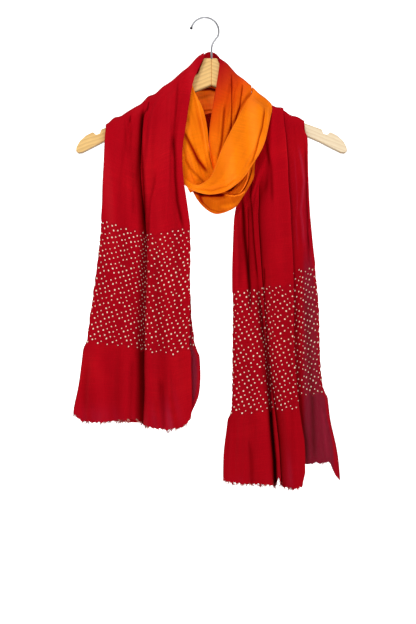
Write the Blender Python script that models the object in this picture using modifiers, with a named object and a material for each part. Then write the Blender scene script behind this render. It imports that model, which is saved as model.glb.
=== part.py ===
"""A long tie-dye scarf, wound twice into a loop and hung on a wooden hanger.

Metres, +Z up, +Y away from the viewer, +X to the viewer's right.
The origin is the inner top of the hanger's hook, where a rail carries it.
The tables below are in millimetres.
"""

import math
from collections import namedtuple

import bmesh
import bpy
import numpy as np
from mathutils import Vector

MM = 0.001

# The scarf's cloth
WALL = 1.2

# The hanger: two bent arms of wood and a wire hook
HANGER_X = 8.5
HALF_SPAN = 222.5
WOOD_THICKNESS = 13.0
WOOD_BEND = 22.0
HANG_LIMIT = 175.0
WOOD_EDGE = 1.8
ARM_GAP = 0.3
WIRE_RADIUS = 1.6
HOOK_RADIUS = 21.5
BORE_CLEARANCE = 0.35
SHANK_DEPTH = 22.0

# How an arm's outline runs, from the middle outwards: distance and height
ArmPoint = namedtuple("ArmPoint", "out height")
HEAD_LEFT = [ArmPoint(0, -67), ArmPoint(12.5, -67), ArmPoint(17, -78)]
HEAD_RIGHT = [ArmPoint(0, -67), ArmPoint(9, -67), ArmPoint(14, -78)]
ARM_TOP = [
    ArmPoint(22, -92),
    ArmPoint(44, -106),
    ArmPoint(66, -124),
    ArmPoint(99, -150),
    ArmPoint(126, -164),
    ArmPoint(156, -177),
    ArmPoint(172, -183),
]
STRAP_NOTCH = [
    ArmPoint(181, -186.5),
    ArmPoint(184, -193.5),
    ArmPoint(190, -196),
    ArmPoint(195, -191),
]
ARM_TIP = [
    ArmPoint(206, -197),
    ArmPoint(216, -206),
    ArmPoint(221.5, -216),
    ArmPoint(222.5, -223),
    ArmPoint(219, -227),
]
ARM_UNDER = [
    ArmPoint(212, -226),
    ArmPoint(176, -207),
    ArmPoint(156, -198),
    ArmPoint(126, -184),
    ArmPoint(99, -169),
    ArmPoint(66, -146),
    ArmPoint(27, -123),
    ArmPoint(0, -112),
]
# Where the flat arm is sliced so that it can bend
BEND_CUTS = [22, 44, 66, 99, 126, 156, 176, 206]

# One row across a stretch of cloth. Each end has its place, with its depth
# counted from the bent hanger's middle plane. Under is how far the layer behind
# reaches, lean is which way the cloth faces (0 the viewer, 90 up, 180 away), gap
# parts its two layers, bulge is how far its middle stands proud, and sag is how
# far the middle lies above (or, below 0, under) the line between the ends.
Row = namedtuple("Row", "left right under lean gap bulge sag", defaults=(0,))


def over_arm(left, right, under, gap, bulge, front, back, sag=0):
    """The rows that carry a stretch over an arm, from behind it to its front.

    Left and right are where the cloth crosses the arm's top, front and back are
    its depths there.
    """
    rows = []
    for share, drop, lean in ARM_STEPS:
        depths = [side * share for side in (back if share > 0 else front)]
        ends = [
            (place[0], depth, place[1] - drop)
            for place, depth in zip((left, right), depths)
        ]
        rows.append(Row(ends[0], ends[1], under, lean, gap, bulge, sag))
    return rows


# The steps over an arm: a share of the depth behind it or before it, the drop
# below the top, and the way the cloth faces
ARM_STEPS = [
    (1.0, 9.0, 180),
    (0.80, 1.6, 135),
    (0.42, 0.0, 90),
    (-0.42, 0.0, 90),
    (-0.80, 1.6, 45),
    (-1.0, 9.0, 0),
]

# One fold along a stretch: where it runs across the width at its start, middle
# and end, from 0 at the left edge to 1 at the right, its half width, how far
# it stands out (or in, below 0), and the stretch's part that it covers.
Fold = namedtuple("Fold", "start middle end half_width depth first last")

# The left tail, from behind the arm, over it, and down to the hem
TAIL_LEFT = over_arm(
    (-165, -179.6), (-4.5, -60), 146, 2.6, 0.6, front=(13.2, 14.4), back=(13.2, 14.4), sag=-9
) + [
    Row((-166, -13.3, -198), (-14.5, -15, -90), 140, 0, 2.8, 1.2, -6),
    Row((-167, -13.2, -214), (-23, -16.4, -114), 134, 0, 3.4, 2, -4),
    Row((-168, -12.6, -240), (-33, -20, -177), 126, 0, 5.5, 3),
    Row((-170, -12.4, -278), (-39, -24.5, -221), 122, 0, 7.5, 4),
    Row((-171, -12, -313), (-38, -25, -263), 124, 0, 8, 4),
    Row((-174, -12, -352), (-31, -26, -311), 136, 0, 8, 4),
    Row((-178, -12, -392), (-25, -26, -361), 148, 0, 8, 4),
    Row((-184, -12, -440), (-25, -26, -425), 158, 0, 8, 3),
    Row((-194, -12, -512), (-26, -26, -505), 173, 0, 8, 3),
    Row((-201, -12, -572), (-27, -26, -570), 188, 0, 8, 3),
    Row((-206, -11, -608), (-26, -25, -618), 192, 0, 9, 3),
    Row((-213, -11, -642), (-27, -25, -648), 188, 0, 11, 3, -5),
    Row((-214, -11, -655), (-29, -25, -664), 180, 0, 12, 3, -9),
]
TAIL_LEFT_FOLDS = [
    Fold(0.48, 0.50, 0.58, 0.075, -5.5, 0.02, 1.00),
    Fold(0.56, 0.59, 0.66, 0.080, 3.0, 0.00, 1.00),
    Fold(0.36, 0.36, 0.38, 0.110, 1.6, 0.00, 0.73),
    Fold(0.29, 0.25, 0.22, 0.070, -2.6, 0.06, 0.47),
    Fold(0.20, 0.14, 0.10, 0.090, 2.0, 0.00, 1.00),
    Fold(0.86, 0.88, 0.90, 0.055, -3.2, 0.08, 0.67),
    Fold(0.76, 0.78, 0.80, 0.090, 2.4, 0.00, 1.00),
    Fold(0.50, 0.40, 0.34, 0.070, -2.4, 0.62, 1.00),
    Fold(0.80, 0.76, 0.74, 0.070, -2.6, 0.65, 1.00),
]

# The right tail, from behind the arm, over it, and down to the hem
TAIL_RIGHT = over_arm(
    (108.5, -147.2), (127, -155.7), 58, 2.6, 0.6, front=(9.5, 9.6), back=(9.5, 9.6)
) + [
    Row((106, -10, -168), (128, -11, -177), 61, 0, 3.2, 1),
    Row((99, -9.5, -187), (130, -12, -194), 69, 0, 4, 1.5),
    Row((90, -5, -212), (132, -11, -217), 78, 0, 5, 2),
    Row((78, -3.7, -240), (134, -9, -245), 90, 0, 6, 2.5),
    Row((66, -3, -271), (135, -8, -276), 103, 0, 7, 3),
    Row((52, -4.2, -303), (138, -7.3, -312), 119, 0, 8, 3),
    Row((46, -6.5, -332), (139, -8.2, -340), 127, 0, 8, 3),
    Row((44, -10.6, -372), (141, -10.2, -377), 132, 0, 8, 3),
    Row((42.5, -14.7, -420), (143, -11, -424), 139, 0, 8, 3),
    Row((42.5, -17.7, -476), (144, -12, -478), 144, 0, 8, 3),
    Row((42, -18.7, -530), (144, -12, -532), 146, 0, 8, 3),
    Row((41.5, -18.7, -584), (147, -11.5, -586), 149, 0, 8, 3),
    Row((41, -18.7, -628), (151, -11, -629), 156, 0, 9, 3),
    Row((38, -18.7, -668), (155, -10.5, -667), 163, 0, 10, 3),
    Row((32, -18.7, -720), (161, -10, -718), 178, 0, 12, 3),
    Row((31, -18.7, -763), (162, -10, -773), 182, 0, 12, 3),
]
TAIL_RIGHT_FOLDS = [
    Fold(0.22, 0.40, 0.64, 0.090, -6.0, 0.12, 1.00),
    Fold(0.32, 0.52, 0.76, 0.090, 3.0, 0.08, 1.00),
    Fold(0.12, 0.20, 0.30, 0.080, -4.0, 0.12, 0.65),
    Fold(0.06, 0.10, 0.18, 0.080, 2.4, 0.08, 1.00),
    Fold(0.24, 0.28, 0.40, 0.070, 2.6, 0.08, 0.87),
    Fold(0.60, 0.66, 0.80, 0.110, 1.8, 0.00, 0.62),
    Fold(0.84, 0.84, 0.86, 0.080, -2.2, 0.10, 0.49),
    Fold(0.30, 0.30, 0.34, 0.080, -2.8, 0.67, 1.00),
]
# How far each row's under layer ends above or below the front layer's row
TAIL_RIGHT_UNDER_LIFT = {19: 6, 20: 14, 21: 26}

# The first turn's right strand, from behind the arm down into the loop
TURN_ONE_RIGHT = over_arm(
    (22, -68), (74.4, -114.6), 8, 3.0, 0.3, front=(10.4, 10), back=(10.2, 10.2), sag=-2
) + [
    Row((17.5, -11, -108), (70, -10, -136), 9, 0, 3.2, 4),
    Row((11, -10.5, -145), (66, -9.6, -166), 10, 0, 3.6, 5),
    Row((5, -8.5, -187), (60, -9.4, -205), 10, 0, 4, 4),
    Row((5, -6.5, -215), (51, -8, -233), 10, 0, 4, 3),
    Row((9, -3.6, -243), (44, -5, -258), 9, 0, 2.6, 1),
    Row((17, -3, -264), (43, -4, -276), 8, 0, 2.4, 0.5),
]
TURN_ONE_RIGHT_FOLDS = [
    Fold(0.42, 0.44, 0.46, 0.075, -2.2, 0.00, 0.80),
    Fold(0.30, 0.32, 0.34, 0.090, 1.8, 0.00, 0.80),
    Fold(0.60, 0.62, 0.64, 0.070, -2.2, 0.00, 0.80),
    Fold(0.52, 0.53, 0.55, 0.060, 1.2, 0.00, 0.80),
]

# The loop's left side, from the loop's foot up over the left arm
LOOP_LEFT = over_arm(
    (-91, -146.6), (-26, -95), 8, 2.6, 0, front=(10.0, 10.0), back=(10.0, 10.0)
) + [
    Row((-84, -9.8, -164), (-19, -9.8, -124), 8, 0, 2.6, 0),
    Row((-76, -9, -180), (-6, -9.5, -151), 9, 0, 2.6, 1),
    Row((-64, -8.5, -203), (1, -12, -181), 9, 0, 3.0, 2),
    Row((-51, -7.5, -231), (4, -13, -210), 9, 0, 3.4, 2.5),
    Row((-41, -7, -257), (8, -12.5, -235), 9, 0, 3.0, 2),
    Row((-37, -7, -270), (12, -10, -252), 8, 0, 2.6, 1),
    Row((-31, -7.7, -282), (18, -8.6, -263), 7, 0, 2.6, 0),
    Row((-27, -6.6, -290), (20, -7.2, -272), 7, 0, 2.6, 0),
]
LOOP_LEFT_FOLDS = [
    Fold(0.60, 0.60, 0.66, 0.090, -2.6, 0.16, 0.90),
    Fold(0.80, 0.80, 0.82, 0.090, 1.8, 0.16, 0.90),
    Fold(0.42, 0.42, 0.44, 0.090, 2.0, 0.16, 0.90),
    Fold(0.26, 0.26, 0.26, 0.070, -1.6, 0.20, 0.90),
]

# The second turn's right strand, the wide one that sweeps down across the front
TURN_TWO_RIGHT = over_arm(
    (75.6, -119.4), (106.4, -145.6), 8, 3.0, 1.0, front=(11.6, 10.0), back=(9.9, 9.9)
) + [
    Row((67, -18.5, -139), (105, -17, -167), 10, 12, 4, 6),
    Row((49, -24, -173), (100, -21, -192), 11, 4, 5, 8),
    Row((36, -28.8, -198), (94, -24.5, -213), 12, 0, 5.5, 9),
    Row((25, -31.6, -221), (85, -27.5, -231), 12, 0, 5.5, 9),
    Row((16, -32, -245), (74, -29.5, -248), 12, 0, 5.5, 9),
    Row((8, -31, -264), (62, -31.3, -266), 11, 0, 5.5, 8),
    Row((0, -29.6, -272), (46, -31.7, -280.5), 10, 0, 5, 6),
    Row((-6, -28, -276), (28, -30.8, -290.5), 8, 0, 4.6, 4),
    Row((-12, -26, -278.3), (8, -28.4, -294.2), 6, 0, 4.2, 2.2),
    Row((-18.5, -23.4, -278), (-10, -24.6, -291.5), 5, 0, 3.8, 1.2),
    Row((-27, -20, -274), (-25, -20.2, -285.5), 4, 0, 3.4, 0.6),
    Row((-40, -15.8, -263.5), (-41, -15.8, -274), 4, 0, 3.2, 0),
]
TURN_TWO_RIGHT_FOLDS = [
    Fold(0.84, 0.86, 0.86, 0.070, -2.0, 0.10, 0.50),
    Fold(0.40, 0.38, 0.40, 0.160, 1.6, 0.05, 0.85),
    Fold(0.66, 0.66, 0.66, 0.100, -1.4, 0.15, 0.70),
]

# The foot of the loop, a sling seen under the wide strand
LOOP_FOOT = [
    Row((66, -15, -222), (82, -14, -226), 6, 0, 3.6, 1),
    Row((61, -17, -240), (79.5, -16, -246), 7, 0, 4, 1.5),
    Row((56, -18, -254), (78, -18, -265), 8, 0, 4.4, 2),
    Row((49, -18.6, -267), (71, -21, -280), 8, 0, 4.6, 2),
    Row((41, -19, -276), (61, -23, -296), 9, 0, 5, 2.5),
    Row((31, -19.4, -281), (46, -24, -316), 9, 0, 5, 3),
    Row((18, -18.6, -283), (19, -23, -326), 9, 0, 5, 3),
    Row((7, -16.4, -281), (1, -19.5, -319), 9, 0, 4.4, 2.4),
    Row((-3, -13.8, -277), (-14, -14.6, -303), 7, 0, 2.6, 0.5),
    Row((-8, -12.4, -272), (-22, -11.2, -289), 5, 0, 2.6, 0.3),
]
LOOP_FOOT_FOLDS = [
    Fold(0.30, 0.26, 0.30, 0.110, -2.6, 0.10, 0.80),
    Fold(0.50, 0.48, 0.50, 0.110, 1.8, 0.05, 0.85),
]

# The three bands behind the neck, from the left arm to the right one. The
# left column is a row's lower edge and the right column is its upper edge.
BAND_UPPER = [
    Row((-154, 17.5, -207), (-159, 16.8, -187), 0, 180, 0, 1),
    Row((-124, 18, -198), (-130, 17, -175), 0, 180, 0, 2),
    Row((-90, 19, -188), (-97, 17, -150), 0, 180, 0, 3),
    Row((-57, 19, -170), (-64, 17, -123), 0, 180, 0, 3.5),
    Row((-32, 19, -150), (-38, 17, -103), 0, 180, 0, 4),
    Row((-12, 19, -130), (-16, 18.4, -71.5), 0, 180, 0, 3.4),
    Row((2, 18.6, -120), (-3, 18.2, -55.5), 0, 180, 0, 3.4),
    Row((12, 17.8, -116), (8.5, 16.6, -52.8), 0, 180, 0, 3.4),
    Row((23, 17, -118), (20, 15.8, -60), 0, 180, 0, 3.4),
    Row((39, 16.8, -127), (35, 16, -86), 0, 180, 0, 3),
    Row((55, 16.4, -138), (51, 15.8, -106), 0, 180, 0, 2),
    Row((74, 15.6, -150), (70, 14.6, -124.5), 0, 180, 0, 1),
]
BAND_UPPER_FOLDS = [
    Fold(0.30, 0.30, 0.30, 0.130, -1.6, 0.05, 0.95),
    Fold(0.62, 0.62, 0.62, 0.120, 1.6, 0.05, 0.95),
    Fold(0.80, 0.80, 0.80, 0.100, -1.4, 0.10, 0.90),
]
BAND_MIDDLE = [
    Row((-80, 11.6, -172), (-88, 11.6, -158), 0, 180, 0, 0.3),
    Row((-52, 11.8, -172), (-60, 11.6, -138), 0, 180, 0, 0.6),
    Row((-29, 12, -166), (-37, 11.6, -122), 0, 180, 0, 1),
    Row((-9, 12.6, -160), (-17, 10.6, -117), 0, 180, 0, 2.6),
    Row((8, 13, -155), (6, 10, -114), 0, 180, 0, 4),
    Row((26, 12.8, -157), (32, 10.4, -121), 0, 180, 0, 2.6),
    Row((46, 12.4, -161), (56, 11.4, -134), 0, 180, 0, 1),
    Row((68, 13.4, -167), (77, 13.4, -147), 0, 180, 0, 0.5),
    Row((96, 12.6, -177), (99, 12.6, -160), 0, 180, 0, 0.3),
]
BAND_MIDDLE_FOLDS = [
    Fold(0.28, 0.28, 0.28, 0.130, 1.6, 0.10, 0.90),
    Fold(0.60, 0.60, 0.60, 0.130, -1.4, 0.10, 0.90),
]
BAND_LOWER = [
    Row((-72, 14.6, -190), (-80, 13.8, -176), 0, 180, 0, 0.5),
    Row((-44, 17, -195), (-54, 14.4, -170), 0, 180, 0, 2),
    Row((-17, 19, -201), (-27, 16.6, -156), 0, 180, 0, 4),
    Row((6, 20, -206), (1, 18.2, -149), 0, 180, 0, 6),
    Row((29, 20, -205), (29, 18, -150), 0, 180, 0, 6),
    Row((52, 19, -201), (57, 16.8, -158), 0, 180, 0, 5),
    Row((79, 17, -197), (84, 15.4, -170), 0, 180, 0, 3),
    Row((107, 14.6, -196), (109, 13.6, -166), 0, 180, 0, 1.5),
    Row((137, 13.4, -201), (132, 12.8, -175), 0, 180, 0, 1),
    Row((162, 13, -208), (157, 12.8, -188), 0, 180, 0, 0.5),
]
BAND_LOWER_FOLDS = [
    Fold(0.26, 0.26, 0.26, 0.120, -2.0, 0.10, 0.90),
    Fold(0.50, 0.50, 0.50, 0.120, 2.0, 0.05, 0.95),
    Fold(0.76, 0.76, 0.76, 0.110, -1.8, 0.10, 0.90),
]

Finish = namedtuple("Finish", "color roughness metallic")
RED_CLOTH = Finish((0.36, 0.008, 0.012), 0.62, 0.0)
ORANGE_CLOTH = Finish((0.90, 0.20, 0.012), 0.58, 0.0)
PINE = Finish((0.82, 0.58, 0.30), 0.5, 0.0)
CHROME = Finish((0.62, 0.62, 0.64), 0.25, 1.0)


def clear_scene():
    for thing in list(bpy.context.scene.objects):
        bpy.data.objects.remove(thing, do_unlink=True)


def new_collection(name):
    collection = bpy.data.collections.new(name)
    bpy.context.scene.collection.children.link(collection)
    return collection


def new_material(name, finish):
    material = bpy.data.materials.new(name)
    material.use_nodes = True
    shader = material.node_tree.nodes["Principled BSDF"]
    shader.inputs["Base Color"].default_value = (*finish.color, 1.0)
    shader.inputs["Roughness"].default_value = finish.roughness
    shader.inputs["Metallic"].default_value = finish.metallic
    return material


def catmull_rom(before, start, end, after, share):
    """The point at this share of the way from start to end on a smooth curve."""
    tangent_in = (end - before) / 2
    tangent_out = (after - start) / 2
    square = share * share
    cube = square * share
    return (
        start * (2 * cube - 3 * square + 1)
        + tangent_in * (cube - 2 * square + share)
        + end * (3 * square - 2 * cube)
        + tangent_out * (cube - square)
    )


def along(values, place):
    """Read a list of values smoothly at a place from 0 to its last index."""
    last = len(values) - 1
    index = min(int(place), last - 1)
    picks = [values[max(0, min(last, index + step))] for step in (-1, 0, 1, 2)]
    return catmull_rom(*[np.asarray(pick, float) for pick in picks], place - index)


def row_at(rows, place):
    """A row between the table's rows, with its facing as a unit vector."""
    lean = math.radians(float(along([row.lean for row in rows], place)))
    return Row(
        left=along([row.left for row in rows], place),
        right=along([row.right for row in rows], place),
        under=float(along([row.under for row in rows], place)),
        lean=np.array((0.0, -math.cos(lean), math.sin(lean))),
        gap=float(along([row.gap for row in rows], place)),
        bulge=float(along([row.bulge for row in rows], place)),
        sag=float(along([row.sag for row in rows], place)),
    )


def fold_height(folds, across, part):
    """How far the folds lift the cloth at a place across and along it."""
    height = 0.0
    for fold in folds:
        if not fold.first < part <= fold.last:
            continue
        path = float(along([fold.start, fold.middle, fold.end], 2 * part))
        offset = abs(across - path) / fold.half_width
        if offset >= 1:
            continue
        fade = min(1.0, (part - fold.first) / 0.12)
        if fold.last < 1:
            fade = min(fade, (fold.last - part) / 0.12)
        height += fold.depth * fade * (0.5 + 0.5 * math.cos(math.pi * offset))
    return height


def arch(across):
    """A smooth rise across the width, 0 at both edges and 1 in the middle."""
    return 1 - (2 * across - 1) ** 2


def front_point(row, folds, across, part):
    """A point on the layer that faces outwards."""
    flat = row.left + (row.right - row.left) * across
    flat[2] += row.sag * arch(across)
    crown = row.bulge * arch(across)
    return flat + row.lean * (row.gap / 2 + crown + fold_height(folds, across, part))


def fold_edge(corner, inwards, row, steps, outward_first):
    """Points round a folded edge, from the front layer to the under layer."""
    radius = row.gap / 2
    centre = corner + inwards * radius
    turns = [math.pi * (step + 1) / (steps + 1) for step in range(steps)]
    if not outward_first:
        turns.reverse()
    return [
        centre + row.lean * radius * math.cos(turn) - inwards * radius * math.sin(turn)
        for turn in turns
    ]


def tail_section(row, folds, part, counts, lift):
    """A tail's row: the front layer from its free edge, the fold, the under layer."""
    span = row.right - row.left
    width = np.linalg.norm(span)
    across_unit = span / width
    inset = row.gap / 2 / width
    front = [
        front_point(row, folds, 1 + (inset - 1) * step / counts.front, part)
        for step in range(counts.front + 1)
    ]
    edge = fold_edge(row.left, across_unit, row, counts.edge, True)
    under = []
    for step in range(counts.under + 1):
        share = step / counts.under
        reach = row.gap / 2 + (row.under - row.gap / 2) * share
        ripple = 0.35 * fold_height(folds, share, part)
        point = row.left + across_unit * reach - row.lean * (row.gap / 2 - min(ripple, 0))
        point[2] += lift * share + row.sag * arch(min(share * row.under / width, 1))
        under.append(point)
    return front + edge + under


def strand_section(row, folds, part, counts, lift):
    """A strand's row: both edges are folded back by the row's under length."""
    span = row.right - row.left
    across_unit = span / np.linalg.norm(span)
    inset = row.gap / 2 / np.linalg.norm(span)
    flap = min(row.under, 0.42 * np.linalg.norm(span))
    steps = [step / counts.front for step in range(counts.front + 1)]
    front = [front_point(row, folds, inset + (1 - 2 * inset) * step, part) for step in steps]
    under_left = row.left + across_unit * flap - row.lean * row.gap / 2
    under_right = row.right - across_unit * flap - row.lean * row.gap / 2
    edge_left = fold_edge(row.left, across_unit, row, counts.edge, False)
    edge_right = fold_edge(row.right, -across_unit, row, counts.edge, True)
    return [under_left] + edge_left + front + edge_right + [under_right]


def band_section(row, folds, part, counts, lift):
    """A band's row: one open layer with pleats along it."""
    steps = [step / counts.front for step in range(counts.front + 1)]
    return [front_point(row, folds, step, part) for step in steps]


Counts = namedtuple("Counts", "front edge under steps")


def over_an_arm(rows):
    """Whether a stretch starts behind an arm and ends before it."""
    return rows[0].lean > rows[-1].lean


def cloth_stretch(name, rows, folds, section, counts, material, collection, lifts=None):
    """Loft one stretch of cloth through its rows and give it the wall's thickness.

    The folds run along the rows that hang free, past those that cross an arm.
    """
    arm_rows = len(ARM_STEPS) - 1 if over_an_arm(rows) else 0
    lift_list = [(lifts or {}).get(index, 0) for index in range(len(rows))]
    last = len(rows) - 1
    lines = last * counts.steps
    sections = []
    for step in range(lines + 1):
        place = step / counts.steps
        row = row_at(rows, place)
        lift = float(along(lift_list, place))
        part = (place - arm_rows) / (last - arm_rows)
        sections.append(section(row, folds, part, counts, lift))
    columns = len(sections[0])
    sheet = bmesh.new()
    bmesh.ops.create_grid(sheet, x_segments=columns - 1, y_segments=lines, size=0.5)
    for vert in sheet.verts:
        column = round((vert.co.x + 0.5) * (columns - 1))
        line = round((vert.co.y + 0.5) * lines)
        x, y, z = sections[line][column]
        vert.co = Vector((x, y + arm_depth(min(abs(x - HANGER_X), HANG_LIMIT)), z)) * MM
    mesh = bpy.data.meshes.new(name)
    sheet.to_mesh(mesh)
    sheet.free()
    mesh.materials.append(material)
    mesh.shade_smooth()
    stretch = bpy.data.objects.new(name, mesh)
    collection.objects.link(stretch)
    wall = stretch.modifiers.new("Wall", "SOLIDIFY")
    wall.thickness = WALL * MM
    wall.offset = 0.0
    wall.use_even_offset = False
    return stretch


def arm_depth(out):
    """How far an arm has bent towards the viewer at this distance out."""
    return -WOOD_BEND * (abs(out) / HALF_SPAN) ** 1.5


def make_arm(name, side, head, material, collection):
    """One half of the hanger: a flat outline, sliced and bent, with eased edges."""
    outline = head + ARM_TOP + STRAP_NOTCH + ARM_TIP + ARM_UNDER
    board = bmesh.new()
    corners = []
    for point in outline:
        out = max(point.out, ARM_GAP / 2)
        corners.append(board.verts.new((out, -WOOD_THICKNESS / 2, point.height)))
    board.faces.new(corners)
    for place in [head[-1].out] + BEND_CUTS:
        geometry = board.verts[:] + board.edges[:] + board.faces[:]
        bmesh.ops.bisect_plane(
            board, geom=geometry, plane_co=(place, 0, 0), plane_no=(1, 0, 0), dist=1e-3
        )
    faces = board.faces[:]
    extruded = bmesh.ops.extrude_face_region(board, geom=faces)
    moved = [item for item in extruded["geom"] if isinstance(item, bmesh.types.BMVert)]
    bmesh.ops.translate(board, verts=moved, vec=(0, WOOD_THICKNESS, 0))
    for vert in board.verts:
        vert.co.y += arm_depth(vert.co.x)
        vert.co.x = HANGER_X + side * vert.co.x
        vert.co *= MM
    bmesh.ops.recalc_face_normals(board, faces=board.faces[:])
    mesh = bpy.data.meshes.new(name)
    board.to_mesh(mesh)
    board.free()
    mesh.materials.append(material)
    arm = bpy.data.objects.new(name, mesh)
    collection.objects.link(arm)
    eased = arm.modifiers.new("Eased edges", "BEVEL")
    eased.width = WOOD_EDGE * MM
    eased.segments = 2
    eased.limit_method = "ANGLE"
    eased.angle_limit = math.radians(55)
    return arm


def hook_route():
    """The wire's middle line, from inside the wood up, round and out to its tip."""
    radius = HOOK_RADIUS + WIRE_RADIUS
    centre = (-2.5, WIRE_RADIUS - radius)
    shank = [(HANGER_X, -67 - SHANK_DEPTH), (HANGER_X, -58), (8.6, -49)]
    swing = [(9.8, -43.5), (12.4, -38.2), (15.6, -34)]
    arc = []
    for step in range(13):
        turn = math.radians(-22 + step * 14.5)
        arc.append((centre[0] + radius * math.cos(turn), centre[1] + radius * math.sin(turn)))
    tip = [(-24.5, -14.5)]
    return shank + swing + arc + tip


def make_hook(name, material, collection):
    """The wire hook, a bevelled curve, with its small ball end."""
    curve = bpy.data.curves.new(name, "CURVE")
    curve.dimensions = "3D"
    curve.bevel_depth = WIRE_RADIUS * MM
    curve.bevel_resolution = 2
    curve.use_fill_caps = True
    curve.resolution_u = 3
    route = hook_route()
    spline = curve.splines.new("POLY")
    spline.points.add(len(route) - 1)
    for point, (x, z) in zip(spline.points, route):
        point.co = (x * MM, 0.0, z * MM, 1.0)
    wire = bpy.data.objects.new(name + "_wire", curve)
    collection.objects.link(wire)
    bpy.context.view_layer.update()
    evaluated = wire.evaluated_get(bpy.context.evaluated_depsgraph_get())
    mesh = bpy.data.meshes.new_from_object(evaluated)
    bpy.data.objects.remove(wire, do_unlink=True)
    solid = bmesh.new()
    solid.from_mesh(mesh)
    bmesh.ops.remove_doubles(solid, verts=solid.verts[:], dist=1e-6)
    solid.to_mesh(mesh)
    solid.free()
    mesh.materials.clear()
    mesh.materials.append(material)
    mesh.shade_smooth()
    hook = bpy.data.objects.new(name, mesh)
    collection.objects.link(hook)
    return hook


def drill(target, name, radius, centre, depth, cutters):
    """Cut a round hole down into a piece."""
    mesh = bpy.data.meshes.new(name)
    bore = bmesh.new()
    bmesh.ops.create_cone(
        bore, cap_ends=True, segments=16, radius1=radius * MM, radius2=radius * MM, depth=depth * MM
    )
    bmesh.ops.translate(bore, verts=bore.verts[:], vec=Vector(centre) * MM)
    bore.to_mesh(mesh)
    bore.free()
    cutter = bpy.data.objects.new(name, mesh)
    cutter.hide_render = True
    cutter.display_type = "WIRE"
    cutters.objects.link(cutter)
    cut = target.modifiers.new("Shank bore", "BOOLEAN")
    cut.operation = "DIFFERENCE"
    cut.object = cutter


def make_hanger(collection, cutters):
    pine = new_material("pine", PINE)
    chrome = new_material("chrome_wire", CHROME)
    left = make_arm("hanger_arm_left", -1, HEAD_LEFT, pine, collection)
    right = make_arm("hanger_arm_right", 1, HEAD_RIGHT, pine, collection)
    bore_depth = SHANK_DEPTH + 10
    centre = (HANGER_X, 0, -67 - SHANK_DEPTH - 0.5 + bore_depth / 2)
    for arm, label in ((left, "bore_left"), (right, "bore_right")):
        drill(arm, label, WIRE_RADIUS + BORE_CLEARANCE, centre, bore_depth, cutters)
    make_hook("hanger_hook", chrome, collection)


def make_scarf(collection):
    red = new_material("red_cloth", RED_CLOTH)
    orange = new_material("orange_cloth", ORANGE_CLOTH)
    tails = Counts(front=20, edge=2, under=8, steps=1)
    strands = Counts(front=9, edge=2, under=1, steps=1)
    bands = Counts(front=8, edge=0, under=0, steps=1)
    cloth_stretch("tail_left", TAIL_LEFT, TAIL_LEFT_FOLDS, tail_section, tails, red, collection)
    cloth_stretch(
        "tail_right", TAIL_RIGHT, TAIL_RIGHT_FOLDS, tail_section, tails, red, collection,
        TAIL_RIGHT_UNDER_LIFT,
    )
    for name, rows, folds, cloth in (
        ("turn_one_right", TURN_ONE_RIGHT, TURN_ONE_RIGHT_FOLDS, red),
        ("turn_two_right", TURN_TWO_RIGHT, TURN_TWO_RIGHT_FOLDS, orange),
        ("loop_left", LOOP_LEFT, LOOP_LEFT_FOLDS, orange),
        ("loop_foot", LOOP_FOOT, LOOP_FOOT_FOLDS, orange),
    ):
        cloth_stretch(name, rows, folds, strand_section, strands, cloth, collection)
    for name, rows, folds, cloth in (
        ("neck_band_upper", BAND_UPPER, BAND_UPPER_FOLDS, red),
        ("neck_band_middle", BAND_MIDDLE, BAND_MIDDLE_FOLDS, orange),
        ("neck_band_lower", BAND_LOWER, BAND_LOWER_FOLDS, orange),
    ):
        cloth_stretch(name, rows, folds, band_section, bands, cloth, collection)


def main():
    clear_scene()
    collection = new_collection("tie_dye_scarf_on_hanger")
    cutters = new_collection("cutters")
    make_hanger(collection, cutters)
    make_scarf(collection)


main()
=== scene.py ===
"""The looks of a tie-dye scarf wound twice round a wooden hanger.

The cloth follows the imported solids' own rows and folds, at a finer step, with
the smaller creases, laps, hems and loose threads that the solids leave out.
Metres, +Z up, +Y away from the viewer. The row tables are in millimetres.
"""

import math
from collections import namedtuple

import bmesh
import bpy
import numpy as np
from mathutils import Matrix, Vector


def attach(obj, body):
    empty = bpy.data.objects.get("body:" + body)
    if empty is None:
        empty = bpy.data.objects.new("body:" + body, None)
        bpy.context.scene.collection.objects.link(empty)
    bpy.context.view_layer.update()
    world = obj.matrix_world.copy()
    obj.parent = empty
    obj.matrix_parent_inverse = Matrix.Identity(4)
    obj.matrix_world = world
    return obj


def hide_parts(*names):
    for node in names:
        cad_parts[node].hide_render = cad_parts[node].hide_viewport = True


bl_info = {
    "name": "Tie-dye scarf on a hanger",
    "version": (1, 0, 0),
    "blender": (4, 5, 0),
    "location": "View3D > Sidebar > Scarf",
    "description": "Builds the cloth, fringe, hanger finish and stage of a tie-dye scarf",
    "category": "Object",
}

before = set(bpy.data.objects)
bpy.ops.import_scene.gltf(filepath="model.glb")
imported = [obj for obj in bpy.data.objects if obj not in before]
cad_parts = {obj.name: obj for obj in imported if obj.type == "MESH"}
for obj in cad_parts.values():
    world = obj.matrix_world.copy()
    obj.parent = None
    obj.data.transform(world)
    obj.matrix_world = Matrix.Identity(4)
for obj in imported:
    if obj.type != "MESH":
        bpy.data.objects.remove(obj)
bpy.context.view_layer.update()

MM = 0.001
HANGER_X = 8.5
HALF_SPAN = 222.5
WOOD_BEND = 22.0
HANG_LIMIT = 175.0

# The steps over an arm: a share of the depth behind it or before it, the drop
# below the top, and the way the cloth faces
ARM_STEPS = [
    (1.0, 9.0, 180),
    (0.80, 1.6, 135),
    (0.42, 0.0, 90),
    (-0.42, 0.0, 90),
    (-0.80, 1.6, 45),
    (-1.0, 9.0, 0),
]

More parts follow.
